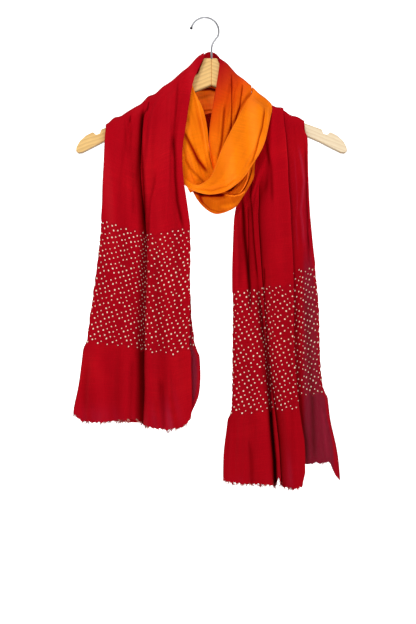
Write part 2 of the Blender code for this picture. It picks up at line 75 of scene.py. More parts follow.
# One row across a stretch of cloth. Each end has its place, with its depth
# counted from the bent hanger's middle plane. Under is how far the layer behind
# reaches, lean is which way the cloth faces (0 the viewer, 90 up, 180 away), gap
# parts its two layers, bulge is how far its middle stands proud, and sag is how
# far the middle lies above (or, below 0, under) the line between the ends.
Row = namedtuple("Row", "left right under lean gap bulge sag", defaults=(0,))


def over_arm(left, right, under, gap, bulge, front, back, sag=0):
    """The rows that carry a stretch over an arm, from behind it to its front.

    Left and right are where the cloth crosses the arm's top, front and back are
    its depths there.
    """
    rows = []
    for share, drop, lean in ARM_STEPS:
        depths = [side * share for side in (back if share > 0 else front)]
        ends = [
            (place[0], depth, place[1] - drop)
            for place, depth in zip((left, right), depths)
        ]
        rows.append(Row(ends[0], ends[1], under, lean, gap, bulge, sag))
    return rows


# One fold along a stretch: where it runs across the width at its start, middle
# and end, from 0 at the left edge to 1 at the right, its half width, how far
# it stands out (or in, below 0), and the stretch's part that it covers.
Fold = namedtuple("Fold", "start middle end half_width depth first last")

# The left tail, from behind the arm, over it, and down to the hem
TAIL_LEFT = over_arm(
    (-165, -179.6), (-4.5, -60), 146, 2.6, 0.6, front=(13.2, 14.4), back=(13.2, 14.4), sag=-9
) + [
    Row((-166, -13.3, -198), (-14.5, -15, -90), 140, 0, 2.8, 1.2, -6),
    Row((-167, -13.2, -214), (-23, -16.4, -114), 134, 0, 3.4, 2, -4),
    Row((-168, -12.6, -240), (-33, -20, -177), 126, 0, 5.5, 3),
    Row((-170, -12.4, -278), (-39, -24.5, -221), 122, 0, 7.5, 4),
    Row((-171, -12, -313), (-38, -25, -263), 124, 0, 8, 4),
    Row((-174, -12, -352), (-31, -26, -311), 136, 0, 8, 4),
    Row((-178, -12, -392), (-25, -26, -361), 148, 0, 8, 4),
    Row((-184, -12, -440), (-25, -26, -425), 158, 0, 8, 3),
    Row((-194, -12, -512), (-26, -26, -505), 173, 0, 8, 3),
    Row((-201, -12, -572), (-27, -26, -570), 188, 0, 8, 3),
    Row((-206, -11, -608), (-26, -25, -618), 192, 0, 9, 3),
    Row((-213, -11, -642), (-27, -25, -648), 188, 0, 11, 3, -5),
    Row((-214, -11, -655), (-29, -25, -664), 180, 0, 12, 3, -9),
]
TAIL_LEFT_FOLDS = [
    Fold(0.48, 0.50, 0.58, 0.075, -5.5, 0.02, 1.00),
    Fold(0.56, 0.59, 0.66, 0.080, 3.0, 0.00, 1.00),
    Fold(0.36, 0.36, 0.38, 0.110, 1.6, 0.00, 0.73),
    Fold(0.29, 0.25, 0.22, 0.070, -2.6, 0.06, 0.47),
    Fold(0.20, 0.14, 0.10, 0.090, 2.0, 0.00, 1.00),
    Fold(0.86, 0.88, 0.90, 0.055, -3.2, 0.08, 0.67),
    Fold(0.76, 0.78, 0.80, 0.090, 2.4, 0.00, 1.00),
    Fold(0.50, 0.40, 0.34, 0.070, -2.4, 0.62, 1.00),
    Fold(0.80, 0.76, 0.74, 0.070, -2.6, 0.65, 1.00),
]

# The right tail, from behind the arm, over it, and down to the hem
TAIL_RIGHT = over_arm(
    (108.5, -147.2), (127, -155.7), 58, 2.6, 0.6, front=(9.5, 9.6), back=(9.5, 9.6)
) + [
    Row((106, -10, -168), (128, -11, -177), 61, 0, 3.2, 1),
    Row((99, -9.5, -187), (130, -12, -194), 69, 0, 4, 1.5),
    Row((90, -5, -212), (132, -11, -217), 78, 0, 5, 2),
    Row((78, -3.7, -240), (134, -9, -245), 90, 0, 6, 2.5),
    Row((66, -3, -271), (135, -8, -276), 103, 0, 7, 3),
    Row((52, -4.2, -303), (138, -7.3, -312), 119, 0, 8, 3),
    Row((46, -6.5, -332), (139, -8.2, -340), 127, 0, 8, 3),
    Row((44, -10.6, -372), (141, -10.2, -377), 132, 0, 8, 3),
    Row((42.5, -14.7, -420), (143, -11, -424), 139, 0, 8, 3),
    Row((42.5, -17.7, -476), (144, -12, -478), 144, 0, 8, 3),
    Row((42, -18.7, -530), (144, -12, -532), 146, 0, 8, 3),
    Row((41.5, -18.7, -584), (147, -11.5, -586), 149, 0, 8, 3),
    Row((41, -18.7, -628), (151, -11, -629), 156, 0, 9, 3),
    Row((38, -18.7, -668), (155, -10.5, -667), 163, 0, 10, 3),
    Row((32, -18.7, -720), (161, -10, -718), 178, 0, 12, 3),
    Row((31, -18.7, -763), (162, -10, -773), 182, 0, 12, 3),
]
TAIL_RIGHT_FOLDS = [
    Fold(0.22, 0.40, 0.64, 0.090, -6.0, 0.12, 1.00),
    Fold(0.32, 0.52, 0.76, 0.090, 3.0, 0.08, 1.00),
    Fold(0.12, 0.20, 0.30, 0.080, -4.0, 0.12, 0.65),
    Fold(0.06, 0.10, 0.18, 0.080, 2.4, 0.08, 1.00),
    Fold(0.24, 0.28, 0.40, 0.070, 2.6, 0.08, 0.87),
    Fold(0.60, 0.66, 0.80, 0.110, 1.8, 0.00, 0.62),
    Fold(0.84, 0.84, 0.86, 0.080, -2.2, 0.10, 0.49),
    Fold(0.30, 0.30, 0.34, 0.080, -2.8, 0.67, 1.00),
]
# How far each row's under layer ends above or below the front layer's row
TAIL_RIGHT_UNDER_LIFT = {19: 6, 20: 14, 21: 26}

# The first turn's right strand, from behind the arm down into the loop
TURN_ONE_RIGHT = over_arm(
    (22, -68), (74.4, -114.6), 8, 3.0, 0.3, front=(10.4, 10), back=(10.2, 10.2), sag=-2
) + [
    Row((17.5, -11, -108), (70, -10, -136), 9, 0, 3.2, 4),
    Row((11, -10.5, -145), (66, -9.6, -166), 10, 0, 3.6, 5),
    Row((5, -8.5, -187), (60, -9.4, -205), 10, 0, 4, 4),
    Row((5, -6.5, -215), (51, -8, -233), 10, 0, 4, 3),
    Row((9, -3.6, -243), (44, -5, -258), 9, 0, 2.6, 1),
    Row((17, -3, -264), (43, -4, -276), 8, 0, 2.4, 0.5),
]
TURN_ONE_RIGHT_FOLDS = [
    Fold(0.42, 0.44, 0.46, 0.075, -2.2, 0.00, 0.80),
    Fold(0.30, 0.32, 0.34, 0.090, 1.8, 0.00, 0.80),
    Fold(0.60, 0.62, 0.64, 0.070, -2.2, 0.00, 0.80),
    Fold(0.52, 0.53, 0.55, 0.060, 1.2, 0.00, 0.80),
]

# The loop's left side, from the loop's foot up over the left arm
LOOP_LEFT = over_arm(
    (-91, -146.6), (-26, -95), 8, 2.6, 0, front=(10.0, 10.0), back=(10.0, 10.0)
) + [
    Row((-84, -9.8, -164), (-19, -9.8, -124), 8, 0, 2.6, 0),
    Row((-76, -9, -180), (-6, -9.5, -151), 9, 0, 2.6, 1),
    Row((-64, -8.5, -203), (1, -12, -181), 9, 0, 3.0, 2),
    Row((-51, -7.5, -231), (4, -13, -210), 9, 0, 3.4, 2.5),
    Row((-41, -7, -257), (8, -12.5, -235), 9, 0, 3.0, 2),
    Row((-37, -7, -270), (12, -10, -252), 8, 0, 2.6, 1),
    Row((-31, -7.7, -282), (18, -8.6, -263), 7, 0, 2.6, 0),
    Row((-27, -6.6, -290), (20, -7.2, -272), 7, 0, 2.6, 0),
]
LOOP_LEFT_FOLDS = [
    Fold(0.60, 0.60, 0.66, 0.090, -2.6, 0.16, 0.90),
    Fold(0.80, 0.80, 0.82, 0.090, 1.8, 0.16, 0.90),
    Fold(0.42, 0.42, 0.44, 0.090, 2.0, 0.16, 0.90),
    Fold(0.26, 0.26, 0.26, 0.070, -1.6, 0.20, 0.90),
]

# The second turn's right strand, the wide one that sweeps down across the front
TURN_TWO_RIGHT = over_arm(
    (75.6, -119.4), (106.4, -145.6), 8, 3.0, 1.0, front=(11.6, 10.0), back=(9.9, 9.9)
) + [
    Row((67, -18.5, -139), (105, -17, -167), 10, 12, 4, 6),
    Row((49, -24, -173), (100, -21, -192), 11, 4, 5, 8),
    Row((36, -28.8, -198), (94, -24.5, -213), 12, 0, 5.5, 9),
    Row((25, -31.6, -221), (85, -27.5, -231), 12, 0, 5.5, 9),
    Row((16, -32, -245), (74, -29.5, -248), 12, 0, 5.5, 9),
    Row((8, -31, -264), (62, -31.3, -266), 11, 0, 5.5, 8),
    Row((0, -29.6, -272), (46, -31.7, -280.5), 10, 0, 5, 6),
    Row((-6, -28, -276), (28, -30.8, -290.5), 8, 0, 4.6, 4),
    Row((-12, -26, -278.3), (8, -28.4, -294.2), 6, 0, 4.2, 2.2),
    Row((-18.5, -23.4, -278), (-10, -24.6, -291.5), 5, 0, 3.8, 1.2),
    Row((-27, -20, -274), (-25, -20.2, -285.5), 4, 0, 3.4, 0.6),
    Row((-40, -15.8, -263.5), (-41, -15.8, -274), 4, 0, 3.2, 0),
]
TURN_TWO_RIGHT_FOLDS = [
    Fold(0.84, 0.86, 0.86, 0.070, -2.0, 0.10, 0.50),
    Fold(0.40, 0.38, 0.40, 0.160, 1.6, 0.05, 0.85),
    Fold(0.66, 0.66, 0.66, 0.100, -1.4, 0.15, 0.70),
]

# The foot of the loop, a sling seen under the wide strand
LOOP_FOOT = [
    Row((66, -15, -222), (82, -14, -226), 6, 0, 3.6, 1),
    Row((61, -17, -240), (79.5, -16, -246), 7, 0, 4, 1.5),
    Row((56, -18, -254), (78, -18, -265), 8, 0, 4.4, 2),
    Row((49, -18.6, -267), (71, -21, -280), 8, 0, 4.6, 2),
    Row((41, -19, -276), (61, -23, -296), 9, 0, 5, 2.5),
    Row((31, -19.4, -281), (46, -24, -316), 9, 0, 5, 3),
    Row((18, -18.6, -283), (19, -23, -326), 9, 0, 5, 3),
    Row((7, -16.4, -281), (1, -19.5, -319), 9, 0, 4.4, 2.4),
    Row((-3, -13.8, -277), (-14, -14.6, -303), 7, 0, 2.6, 0.5),
    Row((-8, -12.4, -272), (-22, -11.2, -289), 5, 0, 2.6, 0.3),
]
LOOP_FOOT_FOLDS = [
    Fold(0.30, 0.26, 0.30, 0.110, -2.6, 0.10, 0.80),
    Fold(0.50, 0.48, 0.50, 0.110, 1.8, 0.05, 0.85),
]

# The three bands behind the neck, from the left arm to the right one. The
# left column is a row's lower edge and the right column is its upper edge.
BAND_UPPER = [
    Row((-154, 17.5, -207), (-159, 16.8, -187), 0, 180, 0, 1),
    Row((-124, 18, -198), (-130, 17, -175), 0, 180, 0, 2),
    Row((-90, 19, -188), (-97, 17, -150), 0, 180, 0, 3),
    Row((-57, 19, -170), (-64, 17, -123), 0, 180, 0, 3.5),
    Row((-32, 19, -150), (-38, 17, -103), 0, 180, 0, 4),
    Row((-12, 19, -130), (-16, 18.4, -71.5), 0, 180, 0, 3.4),
    Row((2, 18.6, -120), (-3, 18.2, -55.5), 0, 180, 0, 3.4),
    Row((12, 17.8, -116), (8.5, 16.6, -52.8), 0, 180, 0, 3.4),
    Row((23, 17, -118), (20, 15.8, -60), 0, 180, 0, 3.4),
    Row((39, 16.8, -127), (35, 16, -86), 0, 180, 0, 3),
    Row((55, 16.4, -138), (51, 15.8, -106), 0, 180, 0, 2),
    Row((74, 15.6, -150), (70, 14.6, -124.5), 0, 180, 0, 1),
]
BAND_UPPER_FOLDS = [
    Fold(0.30, 0.30, 0.30, 0.130, -1.6, 0.05, 0.95),
    Fold(0.62, 0.62, 0.62, 0.120, 1.6, 0.05, 0.95),
    Fold(0.80, 0.80, 0.80, 0.100, -1.4, 0.10, 0.90),
]
BAND_MIDDLE = [
    Row((-80, 11.6, -172), (-88, 11.6, -158), 0, 180, 0, 0.3),
    Row((-52, 11.8, -172), (-60, 11.6, -138), 0, 180, 0, 0.6),
    Row((-29, 12, -166), (-37, 11.6, -122), 0, 180, 0, 1),
    Row((-9, 12.6, -160), (-17, 10.6, -117), 0, 180, 0, 2.6),
    Row((8, 13, -155), (6, 10, -114), 0, 180, 0, 4),
    Row((26, 12.8, -157), (32, 10.4, -121), 0, 180, 0, 2.6),
    Row((46, 12.4, -161), (56, 11.4, -134), 0, 180, 0, 1),
    Row((68, 13.4, -167), (77, 13.4, -147), 0, 180, 0, 0.5),
    Row((96, 12.6, -177), (99, 12.6, -160), 0, 180, 0, 0.3),
]
BAND_MIDDLE_FOLDS = [
    Fold(0.28, 0.28, 0.28, 0.130, 1.6, 0.10, 0.90),
    Fold(0.60, 0.60, 0.60, 0.130, -1.4, 0.10, 0.90),
]
BAND_LOWER = [
    Row((-72, 14.6, -190), (-80, 13.8, -176), 0, 180, 0, 0.5),
    Row((-44, 17, -195), (-54, 14.4, -170), 0, 180, 0, 2),
    Row((-17, 19, -201), (-27, 16.6, -156), 0, 180, 0, 4),
    Row((6, 20, -206), (1, 18.2, -149), 0, 180, 0, 6),
    Row((29, 20, -205), (29, 18, -150), 0, 180, 0, 6),
    Row((52, 19, -201), (57, 16.8, -158), 0, 180, 0, 5),
    Row((79, 17, -197), (84, 15.4, -170), 0, 180, 0, 3),
    Row((107, 14.6, -196), (109, 13.6, -166), 0, 180, 0, 1.5),
    Row((137, 13.4, -201), (132, 12.8, -175), 0, 180, 0, 1),
    Row((162, 13, -208), (157, 12.8, -188), 0, 180, 0, 0.5),
]
BAND_LOWER_FOLDS = [
    Fold(0.26, 0.26, 0.26, 0.120, -2.0, 0.10, 0.90),
    Fold(0.50, 0.50, 0.50, 0.120, 2.0, 0.05, 0.95),
    Fold(0.76, 0.76, 0.76, 0.110, -1.8, 0.10, 0.90),
]

# A crease in a hanging layer: its path down the cloth as seen from the front
# (x and z), its width to the left and right of the path, how far it stands out
# (or in, below 0), and how much painted shade it puts on the cloth there (below 0,
# a painted highlight).
Crease = namedtuple("Crease", "path left_width right_width depth shade")

# A lap, where the cloth doubles back under itself: where it runs across the
# width at its start, middle and end, the cloth it takes up, how far the upper
# side stands out, which side lies on top, the stretch's part that it covers, and
# how far from the upper side's edge the lower side lies in its shadow.
Lap = namedtuple("Lap", "start middle end cloth height top first last shadow")

# A hem's dip below its row at a place across the width, and how far it swings out
Hem = namedtuple("Hem", "across dip out", defaults=(0,))

# A place where light coming through the cloth is painted in (x and z), its half sizes, how much
Patch = namedtuple("Patch", "x z wide tall share")

# The dotted zone's lower and upper edge at a place across a layer
DotEdge = namedtuple("DotEdge", "across low high")

LEFT_CREASES = [
    Crease([(-131, -146), (-126, -180), (-124, -235), (-119, -300), (-117, -350)], 9, 5, -2.2, 0.12),
    Crease([(-106, -150), (-109, -200), (-113, -245), (-120, -290), (-123, -345)], 8, 4, 2.2, 0.12),
    Crease([(-92, -128), (-95, -160), (-93, -215), (-88, -270)], 6, 9, 1.6, -0.04),
    Crease([(-62, -108), (-60, -190), (-61, -262), (-66, -330), (-75, -372)], 6, 4, 1.5, -0.03),
    Crease([(-47, -100), (-49, -140), (-50.6, -166), (-53.4, -198), (-55, -225)], 2.5, 6, -1.6, 0.4),
    Crease(
        [(-56, -190), (-54, -213), (-52, -235), (-51.4, -265), (-48, -306), (-41.6, -336), (-35, -360)],
        4, 7, -3.2, 0.85,
    ),
    Crease([(-150, -170), (-150, -260), (-152, -350), (-160, -500), (-171, -680)], 16, 20, 2.0, 0.0),
    Crease([(-131, -330), (-138, -420), (-140, -520), (-146, -680)], 9, 9, -1.8, 0.12),
    Crease([(-80, -340), (-77, -420), (-74, -520), (-70, -700)], 9, 12, -2.0, 0.12),
    Crease([(-52, -350), (-50, -450), (-49, -540), (-47, -700)], 10, 10, 2.2, 0.0),
    Crease([(-190, -556), (-196, -610), (-199, -680)], 9, 7, -2.6, 0.12),
    Crease([(-121, -556), (-123, -610), (-126, -690)], 7, 8, -2.2, 0.2),
    Crease([(-75, -590), (-72, -640), (-70, -700)], 6, 6, -2.6, 0.3),
    Crease([(-63, -570), (-60, -620), (-56, -700)], 6, 6, 1.8, -0.05),
    Crease(
        [
            (-101, -136), (-104, -160), (-106, -190), (-106, -228),
            (-103, -265), (-101, -306), (-100, -360),
        ],
        8, 3, -3.4, 0.85,
    ),
    Crease(
        [(-101, -270), (-98, -315), (-99, -360), (-103, -420), (-105, -500), (-105, -690)],
        11, 10, -1.2, 0.5,
    ),
    Crease([(-82, -250), (-84, -275), (-91, -306), (-94, -350), (-95, -385)], 6, 3, -1.6, 0.35),
    Crease([(-77, -124), (-90, -131), (-105, -140)], 2.5, 2, -1.2, 0.9),
    Crease([(-90, -132), (-94, -143), (-97.5, -160)], 3, 2, -1.6, 0.9),
    Crease([(-121, -147), (-124, -158), (-125.5, -178)], 3, 2.5, -1.6, 0.8),
    Crease([(-134, -160), (-132, -200), (-129, -235)], 4, 3, -1.0, 0.15),
]
LEFT_LAPS = [
    Lap(0.44, 0.545, 0.62, 15, 3.4, "right", 0.02, 2.0, 11),
]
LEFT_HEM = [
    Hem(0.0, 0), Hem(0.068, 8), Hem(0.211, 5), Hem(0.355, -2), Hem(0.53, -7),
    Hem(0.58, 0), Hem(0.669, 7), Hem(0.795, 12), Hem(0.938, 10), Hem(1.0, -2),
]
LEFT_PATCHES = [
    Patch(-180, -655, 34, 16, 0.7), Patch(-140, -668, 22, 9, 0.4), Patch(-72, -664, 26, 26, 0.75),
    Patch(-56, -640, 12, 34, 0.4),
]
LEFT_DOTS = [
    DotEdge(0.0, -538, -334), DotEdge(0.15, -540, -342), DotEdge(0.45, -545, -356),
    DotEdge(0.62, -553, -358), DotEdge(0.85, -557, -351), DotEdge(1.0, -548, -348),
]

RIGHT_CREASES = [
    Crease([(104, -150), (104, -200), (102, -240), (98, -300)], 9, 7, 0.0, 0.42),
    Crease([(50, -300), (54, -350), (55, -400), (54, -460)], 7, 9, 0.0, 0.36),
    Crease([(60, -300), (64, -420), (66, -560), (58, -700), (50, -790)], 10, 12, 2.0, 0.0),
    Crease(
        [
            (58, -280), (60, -305), (62, -331), (63, -358),
            (65.5, -385), (68, -411), (71, -445), (72, -500),
        ],
        7, 5.5, -3.2, 1.25,
    ),
    Crease(
        [
            (78, -235), (74.7, -278), (73.6, -299), (76, -326),
            (77.3, -347), (79, -374), (83, -414), (87, -450),
        ],
        4, 1.6, -2.6, 0.85,
    ),
    Crease(
        [
            (84, -425), (88, -472), (94, -520), (99, -560),
            (104.7, -614), (107.5, -669), (113, -729), (118, -840),
        ],
        6.5, 3.5, -4.0, 1.5,
    ),
    Crease([(97, -550), (104, -620), (107, -670), (112, -730), (115, -850)], 8, 6.5, -1.5, 1.3),
    Crease(
        [(93, -170), (97.2, -196), (101.2, -223), (106.5, -249), (107.8, -276), (109, -315)],
        7, 6, -1.6, 0.6,
    ),
    Crease([(84, -190), (86, -215), (86, -250)], 5, 6, 0.0, 0.3),
    Crease([(95, -412), (96, -428), (95.4, -446)], 2, 2, -1.4, 0.6),
    Crease([(120, -150), (124, -220), (124, -330), (124, -450)], 14, 10, 1.6, 0.0),
    Crease(
        [(127, -158), (130, -201), (133, -241), (136, -284), (139, -337), (142, -400), (143, -440)],
        2.5, 2.5, 0.8, -0.12,
    ),
    Crease([(134, -430), (138, -520), (139, -620), (143, -790)], 7, 9, -1.6, 0.1),
    Crease([(71, -690), (75, -730), (76, -790)], 5, 5, -2.4, 0.25),
    Crease([(121, -690), (124, -730), (126, -790)], 6, 5, 1.8, -0.05),
    Crease([(48, -660), (44, -720), (42, -790)], 6, 6, 1.8, 0.0),
    Crease([(44, -300), (46, -450), (43, -600), (36, -760)], 5, 5, 0.0, 0.25),
]
RIGHT_LAPS = [
    Lap(0.10, 0.24, 0.30, 10, 2.6, "left", 0.34, 0.62, 5),
    Lap(0.22, 0.40, 0.66, 18, 3.8, "left", 0.27, 2.0, 8),
]
RIGHT_PATCHES = [
    Patch(134, -752, 12, 34, 0.7), Patch(56, -764, 20, 10, 0.3), Patch(112, -764, 14, 10, 0.3),
]
RIGHT_BACK_CREASES = [
    Crease([(156, -168), (159, -178), (161, -190)], 2, 2, -1.2, 0.8),
    Crease(
        [(149, -205), (157, -240), (161, -272), (156, -320), (159, -348), (161, -392)],
        5, 5, 1.4, -0.42,
    ),
    Crease([(144, -215), (147, -260), (150, -300), (148, -340), (151, -400)], 2, 2.5, 1.0, -0.25),
    Crease(
        [(162, -200), (164.4, -254), (165.4, -294), (167, -334), (168, -374), (170, -415)],
        4, 2.5, -1.8, 0.85,
    ),
    Crease([(143.5, -170), (146, -201), (149, -241), (149, -260)], 4, 4, 0.0, 0.1),
    Crease([(164, -430), (168, -520), (173, -620), (178, -790)], 8, 8, -2.2, 0.5),
    Crease([(186, -640), (192, -690), (199, -770)], 5, 6, 2.0, -0.3),
    Crease(
        [(147, -440), (149, -530), (152, -600), (157, -668), (163, -720), (165, -800)],
        5, 9, 0.0, 0.55,
    ),
]
RIGHT_HEM = [
    Hem(0.0, -4), Hem(0.017, 2), Hem(0.236, 4), Hem(0.455, 2), Hem(0.64, 3),
    Hem(0.668, -13), Hem(0.70, 2), Hem(0.853, 6), Hem(0.96, 2), Hem(1.0, -22),
]
RIGHT_BACK_HEM = [Hem(0.0, -17), Hem(0.93, -17), Hem(0.955, -12), Hem(0.975, 3), Hem(1.0, 15, 5)]
RIGHT_DOTS = [
    DotEdge(0.0, -655, -452), DotEdge(0.3, -654, -450),
    DotEdge(0.6, -648, -444), DotEdge(1.0, -646, -440),
]
RIGHT_BACK_DOTS = [
    DotEdge(0.0, -655, -452), DotEdge(0.7, -625, -420), DotEdge(1.0, -618, -408),
]

FIRST_TURN_CREASES = [
    Crease([(41.5, -86), (42, -115), (42, -150), (41, -183), (40, -205)], 2.5, 2, -2.0, 1.0),
    Crease([(60, -104), (59, -120), (55, -150), (45, -183), (40, -200)], 3, 2.5, -2.2, 0.9),
    Crease([(50, -88), (50, -120), (48, -170)], 3.5, 3.5, 1.2, -0.06),
    Crease([(30, -90), (27, -140), (24, -200), (24, -240)], 6, 6, 1.4, -0.04),
    Crease([(31, -140), (26.5, -185), (25.6, -205), (21.6, -222), (16, -245)], 5, 4.5, -1.4, 0.7),
    Crease([(78, -116), (58.4, -146), (38.7, -188), (24, -225)], 6, 3, 0.0, 0.6),
    Crease([(22, -75), (15, -110), (9, -150), (6, -190)], 3, 3, 0.6, 0.35),
    Crease([(34, -62), (46, -84), (58, -100)], 3, 2, -0.8, 0.35),
]
LEFT_LOOP_CREASES = [
    Crease([(-22, -112), (-12, -150), (-5, -185), (1.5, -225), (4, -240)], 3, 3, 1.6, -0.2),
    Crease([(-24, -112), (-19, -140), (-10, -180), (-3, -215)], 4, 4, -1.4, 0.2),
    Crease(
        [(-40, -180), (-36, -192), (-24, -215), (-14, -235), (-1, -252), (6, -262)],
        9.5, 6, -2.6, 1.05,
    ),
    Crease([(-38, -228), (-28, -248), (-14, -262), (-3.6, -273), (4, -278)], 6.5, 4, -1.6, 0.5),
    Crease([(-33, -150), (-26, -185), (-14, -222), (2, -250)], 6, 6, 1.6, -0.02),
    Crease([(5, -220), (8, -236), (13, -254)], 6, 6, 0.0, 0.9),
]
SECOND_TURN_CREASES = [
    Crease(
        [(96, -146), (95.5, -162), (92, -185), (86, -205), (82, -223), (76, -240), (66, -254)],
        5.5, 1.8, -2.2, 0.8,
    ),
    Crease([(103, -142), (100, -182), (94, -208), (86, -230), (78, -244)], 3, 3, 1.4, -0.25),
    Crease([(74, -118), (62, -142), (47, -175), (31, -206), (20, -236)], 2, 4, 1.2, -0.04),
    Crease([(80, -140), (66, -180), (50, -215), (34, -250)], 16, 16, 1.5, 0.0),
    Crease([(60, -258), (40, -272), (14, -280), (-20, -280)], 5, 4, 1.0, -0.03),
    Crease([(52, -268), (34, -281), (10, -288), (-22, -284)], 4, 3, -1.4, 0.25),
    Crease([(20, -240), (5, -262), (-15, -272), (-40, -262)], 3, 6, 1.0, 0.25),
]
FOOT_CREASES = [
    Crease(
        [
            (78, -238), (79, -261), (75, -271), (67, -287),
            (56, -294.5), (46, -297), (36, -296), (24, -292),
        ],
        1.6, 1.6, 2.4, -1.1,
    ),
    Crease(
        [(72, -244), (69, -259), (67, -270), (63, -280), (57, -289), (50, -294)],
        1.4, 1.4, 2.0, -0.95,
    ),
    Crease([(76, -246), (74, -255), (71, -267), (66, -279), (61, -287), (54, -293)], 2, 1.8, -3.0, 1.1),
    Crease(
        [(64, -256), (59, -266), (51.7, -274), (46.6, -280), (41.7, -286), (30, -290)],
        3, 2.6, -3.4, 1.2,
    ),
    Crease([(34, -295), (22, -295), (8, -295), (-8, -293), (-28, -284)], 7, 7, 0.0, 1.2),
    Crease([(34, -293.5), (44, -294.5), (56, -294)], 1.2, 1.2, 0.0, 0.8),
    Crease([(-4, -288), (-10, -298), (-8, -312), (0, -322)], 12, 9, 0.0, 0.45),
    Crease([(62, -303), (48, -311), (34, -314), (20, -314)], 8, 8, 1.6, -0.3),
    Crease([(-14, -290), (-6, -306), (6, -318), (22, -323), (40, -318)], 1.6, 1.6, -0.8, 0.35),
    Crease([(-20, -285), (-14, -299), (-4, -313), (10, -322)], 1.6, 1.6, 0.6, -0.1),
]
UPPER_BAND_CREASES = [
    Crease(
        [(-150, -190), (-90, -150), (-40, -110), (0, -76), (40, -104), (90, -146), (140, -178)],
        5, 4, -1.4, 0.25,
    ),
    Crease(
        [(-150, -200), (-90, -164), (-40, -128), (0, -100), (40, -122), (90, -158), (140, -190)],
        4, 5, -1.2, 0.3,
    ),
]
# The first crease is the near black painted shadow in the gap under the hanger's neck
BAND_CREASES = [
    Crease([(-60, -131), (-12, -116), (6, -115), (18, -118), (34, -125), (60, -133)], 6, 9, -1.0, 2.2),
    Crease([(-50, -158), (-20, -153), (5, -150), (30, -153), (60, -160)], 3, 3, -1.6, 0.8),
    Crease([(-50, -163), (-20, -159), (5, -157), (30, -159)], 4, 4, 1.4, -0.2),
    Crease([(-60, -190), (-10, -186), (10, -186), (40, -188), (110, -190)], 14, 16, -1.6, 0.7),
]

# A whole stretch of the scarf. Flat is its cut, in metres; dye is how far the
# colour has gone from red (0) to orange (1) at a height; its painted shade darkens
# all of it (below 0 it is painted light that lightens it); tilt makes the dye
# change sooner towards the right; sheer_from is the x from which its layer behind
# may have light painted through it.
Stretch = namedtuple(
    "Stretch",
    "node rows folds creases section slot flat rests_on dye dusk laps hem dots"
    " patches back_creases back_dots back_hem lifts seed tilt sheer_from",
    defaults=((), (), (), (), (), (), (), {}, 1, 0.0, -1000.0),
)

# A stretch's rows at a fine step, with a value in each column for every line
Lines = namedtuple("Lines", "left right under facing gap bulge sag lift part width unit")

# One layer of a stretch: its points, where they lie across the cloth itself, how
# much painted shade they get and how much light is painted through them, and
# where they lie across the layer (0 to 1)
Layer = namedtuple("Layer", "points across_cloth shade sheer across")

# A slow uneven swell of the cloth, and what it adds to its stretch's seed
Swell = namedtuple("Swell", "height width length seed")

# Lines from row to row, and columns across each layer
ROW_STEPS = 10
EDGE_STEPS = 6
FRONT_COLUMNS = 150
UNDER_COLUMNS = 56
STRAND_COLUMNS = 84
FLAP_COLUMNS = 6
BAND_COLUMNS = 60

# Folds, creases and laps
FOLD_FADE = 0.12
CREASE_FADE = 0.18
CREASE_START = 0.3
CREASE_RAMP = 0.08
SHADE_START = 0.5
SHADE_RAMP = 0.02
EDGE_HOLD = 8.0
# A painted highlight on a strand's folded edges, as a shade below 0
EDGE_PAINTED_HIGHLIGHT = -0.08
UNDER_RIPPLE = 0.35
UNDER_HOLD = 25.0
FLAP_LIMIT = 0.42
FLAP_END = 0.25
LAP_TURN = 4.5
LAP_REACH = 26.0
LAP_DARK = 0.95
LAP_EASE = 1.4
CROWDING = 1.1
BACK_CROWDING = 1.3

# Swells of the front, of the layer behind, of its thin places and of its broad painted light and shade
FRONT_SWELL = Swell(0.5, 24, 260, 0)
BACK_SWELL = Swell(0.9, 40, 300, 9)
THIN_SWELL = Swell(1.0, 20, 90, 5)
PAINTED_SHADE_SWELL = Swell(1.0, 34, 420, 3)
SWELL_WAVES = 6
SWELL_TURN = 0.35
SWELL_SLANT = 0.4
SWELL_SPREAD = (0.6, 1.6)

# Painted shade on the cloth: broad clouds of painted light and shade, painted shade on
# the layer behind where it shows past the front, and painted shade that grows lower down
PAINTED_SHADE_CLOUDS = 0.09
BACK_PAINTED_SHADE = 0.12
LOW_PAINTED_SHADE = 0.19
LOW_START = -250.0
LOW_REACH = 350.0

# Where light coming through the cloth is painted in, as colour and lighter shade, with a little real
# see-through
FRONT_SHEER = 0.6
PATCH_LIGHT = 0.3
PATCH_EVEN = 0.7
PATCH_UNEVEN = 0.5
SHEER_START = -215.0
SHEER_LOW = -380.0
SHEER_FADE = 60.0
SHEER_SIDE = 8.0
SHEER_TOP = 0.3
LIT_SHEER = 1.6
LIT_SHEER_MOST = 0.75
RIM_WIDTH = 6.0
RIM_FADE = 3.0
RIM_CLEAR = 0.8

# Hems, the dotted zone and the ridge over an arm. A wave has a height, pace and start.
HEM_START = 0.84
HEM_RAG = 0.9
RAG_START = 0.985
RAG_WAVES = ((1.0, 0.83, 0.0), (0.8, 2.1, 1.0), (0.6, 0.37, 0.0))
HEM_FLARE = 3.4
FLARE_FADE = 9.0
DOT_PINCH = 0.4
DOT_FADE = 6.0
DOT_ZONE = 195.0
SCALLOP_WAVES = ((0.5, 0.72, 0.0), (0.4, 0.31, 1.0))
PLAIN = -1000.0
RIDGE_RISE = 3.2
RIDGE_END = 0.07
RIDGE_PACES = (0.23, 0.09)

# Loose threads, in millimetres
THREAD_RADIUS = 0.3
THREAD_REACH = 8.0
THREAD_LEAST = 0.35
THREAD_BENDS = 3
THREAD_TAPER = 0.5
THREAD_SWAY_X = 0.3
THREAD_SWAY_Y = 0.25
THREAD_CURL_X = 0.35
THREAD_CURL_Y = 0.2
THREAD_CURL_Z = (-0.1, 0.45)
THREAD_ROOT = np.array([0, 0, 0.8])
TUFT = 6
TUFT_LEAN = 0.5
TUFT_SPREAD = 0.6

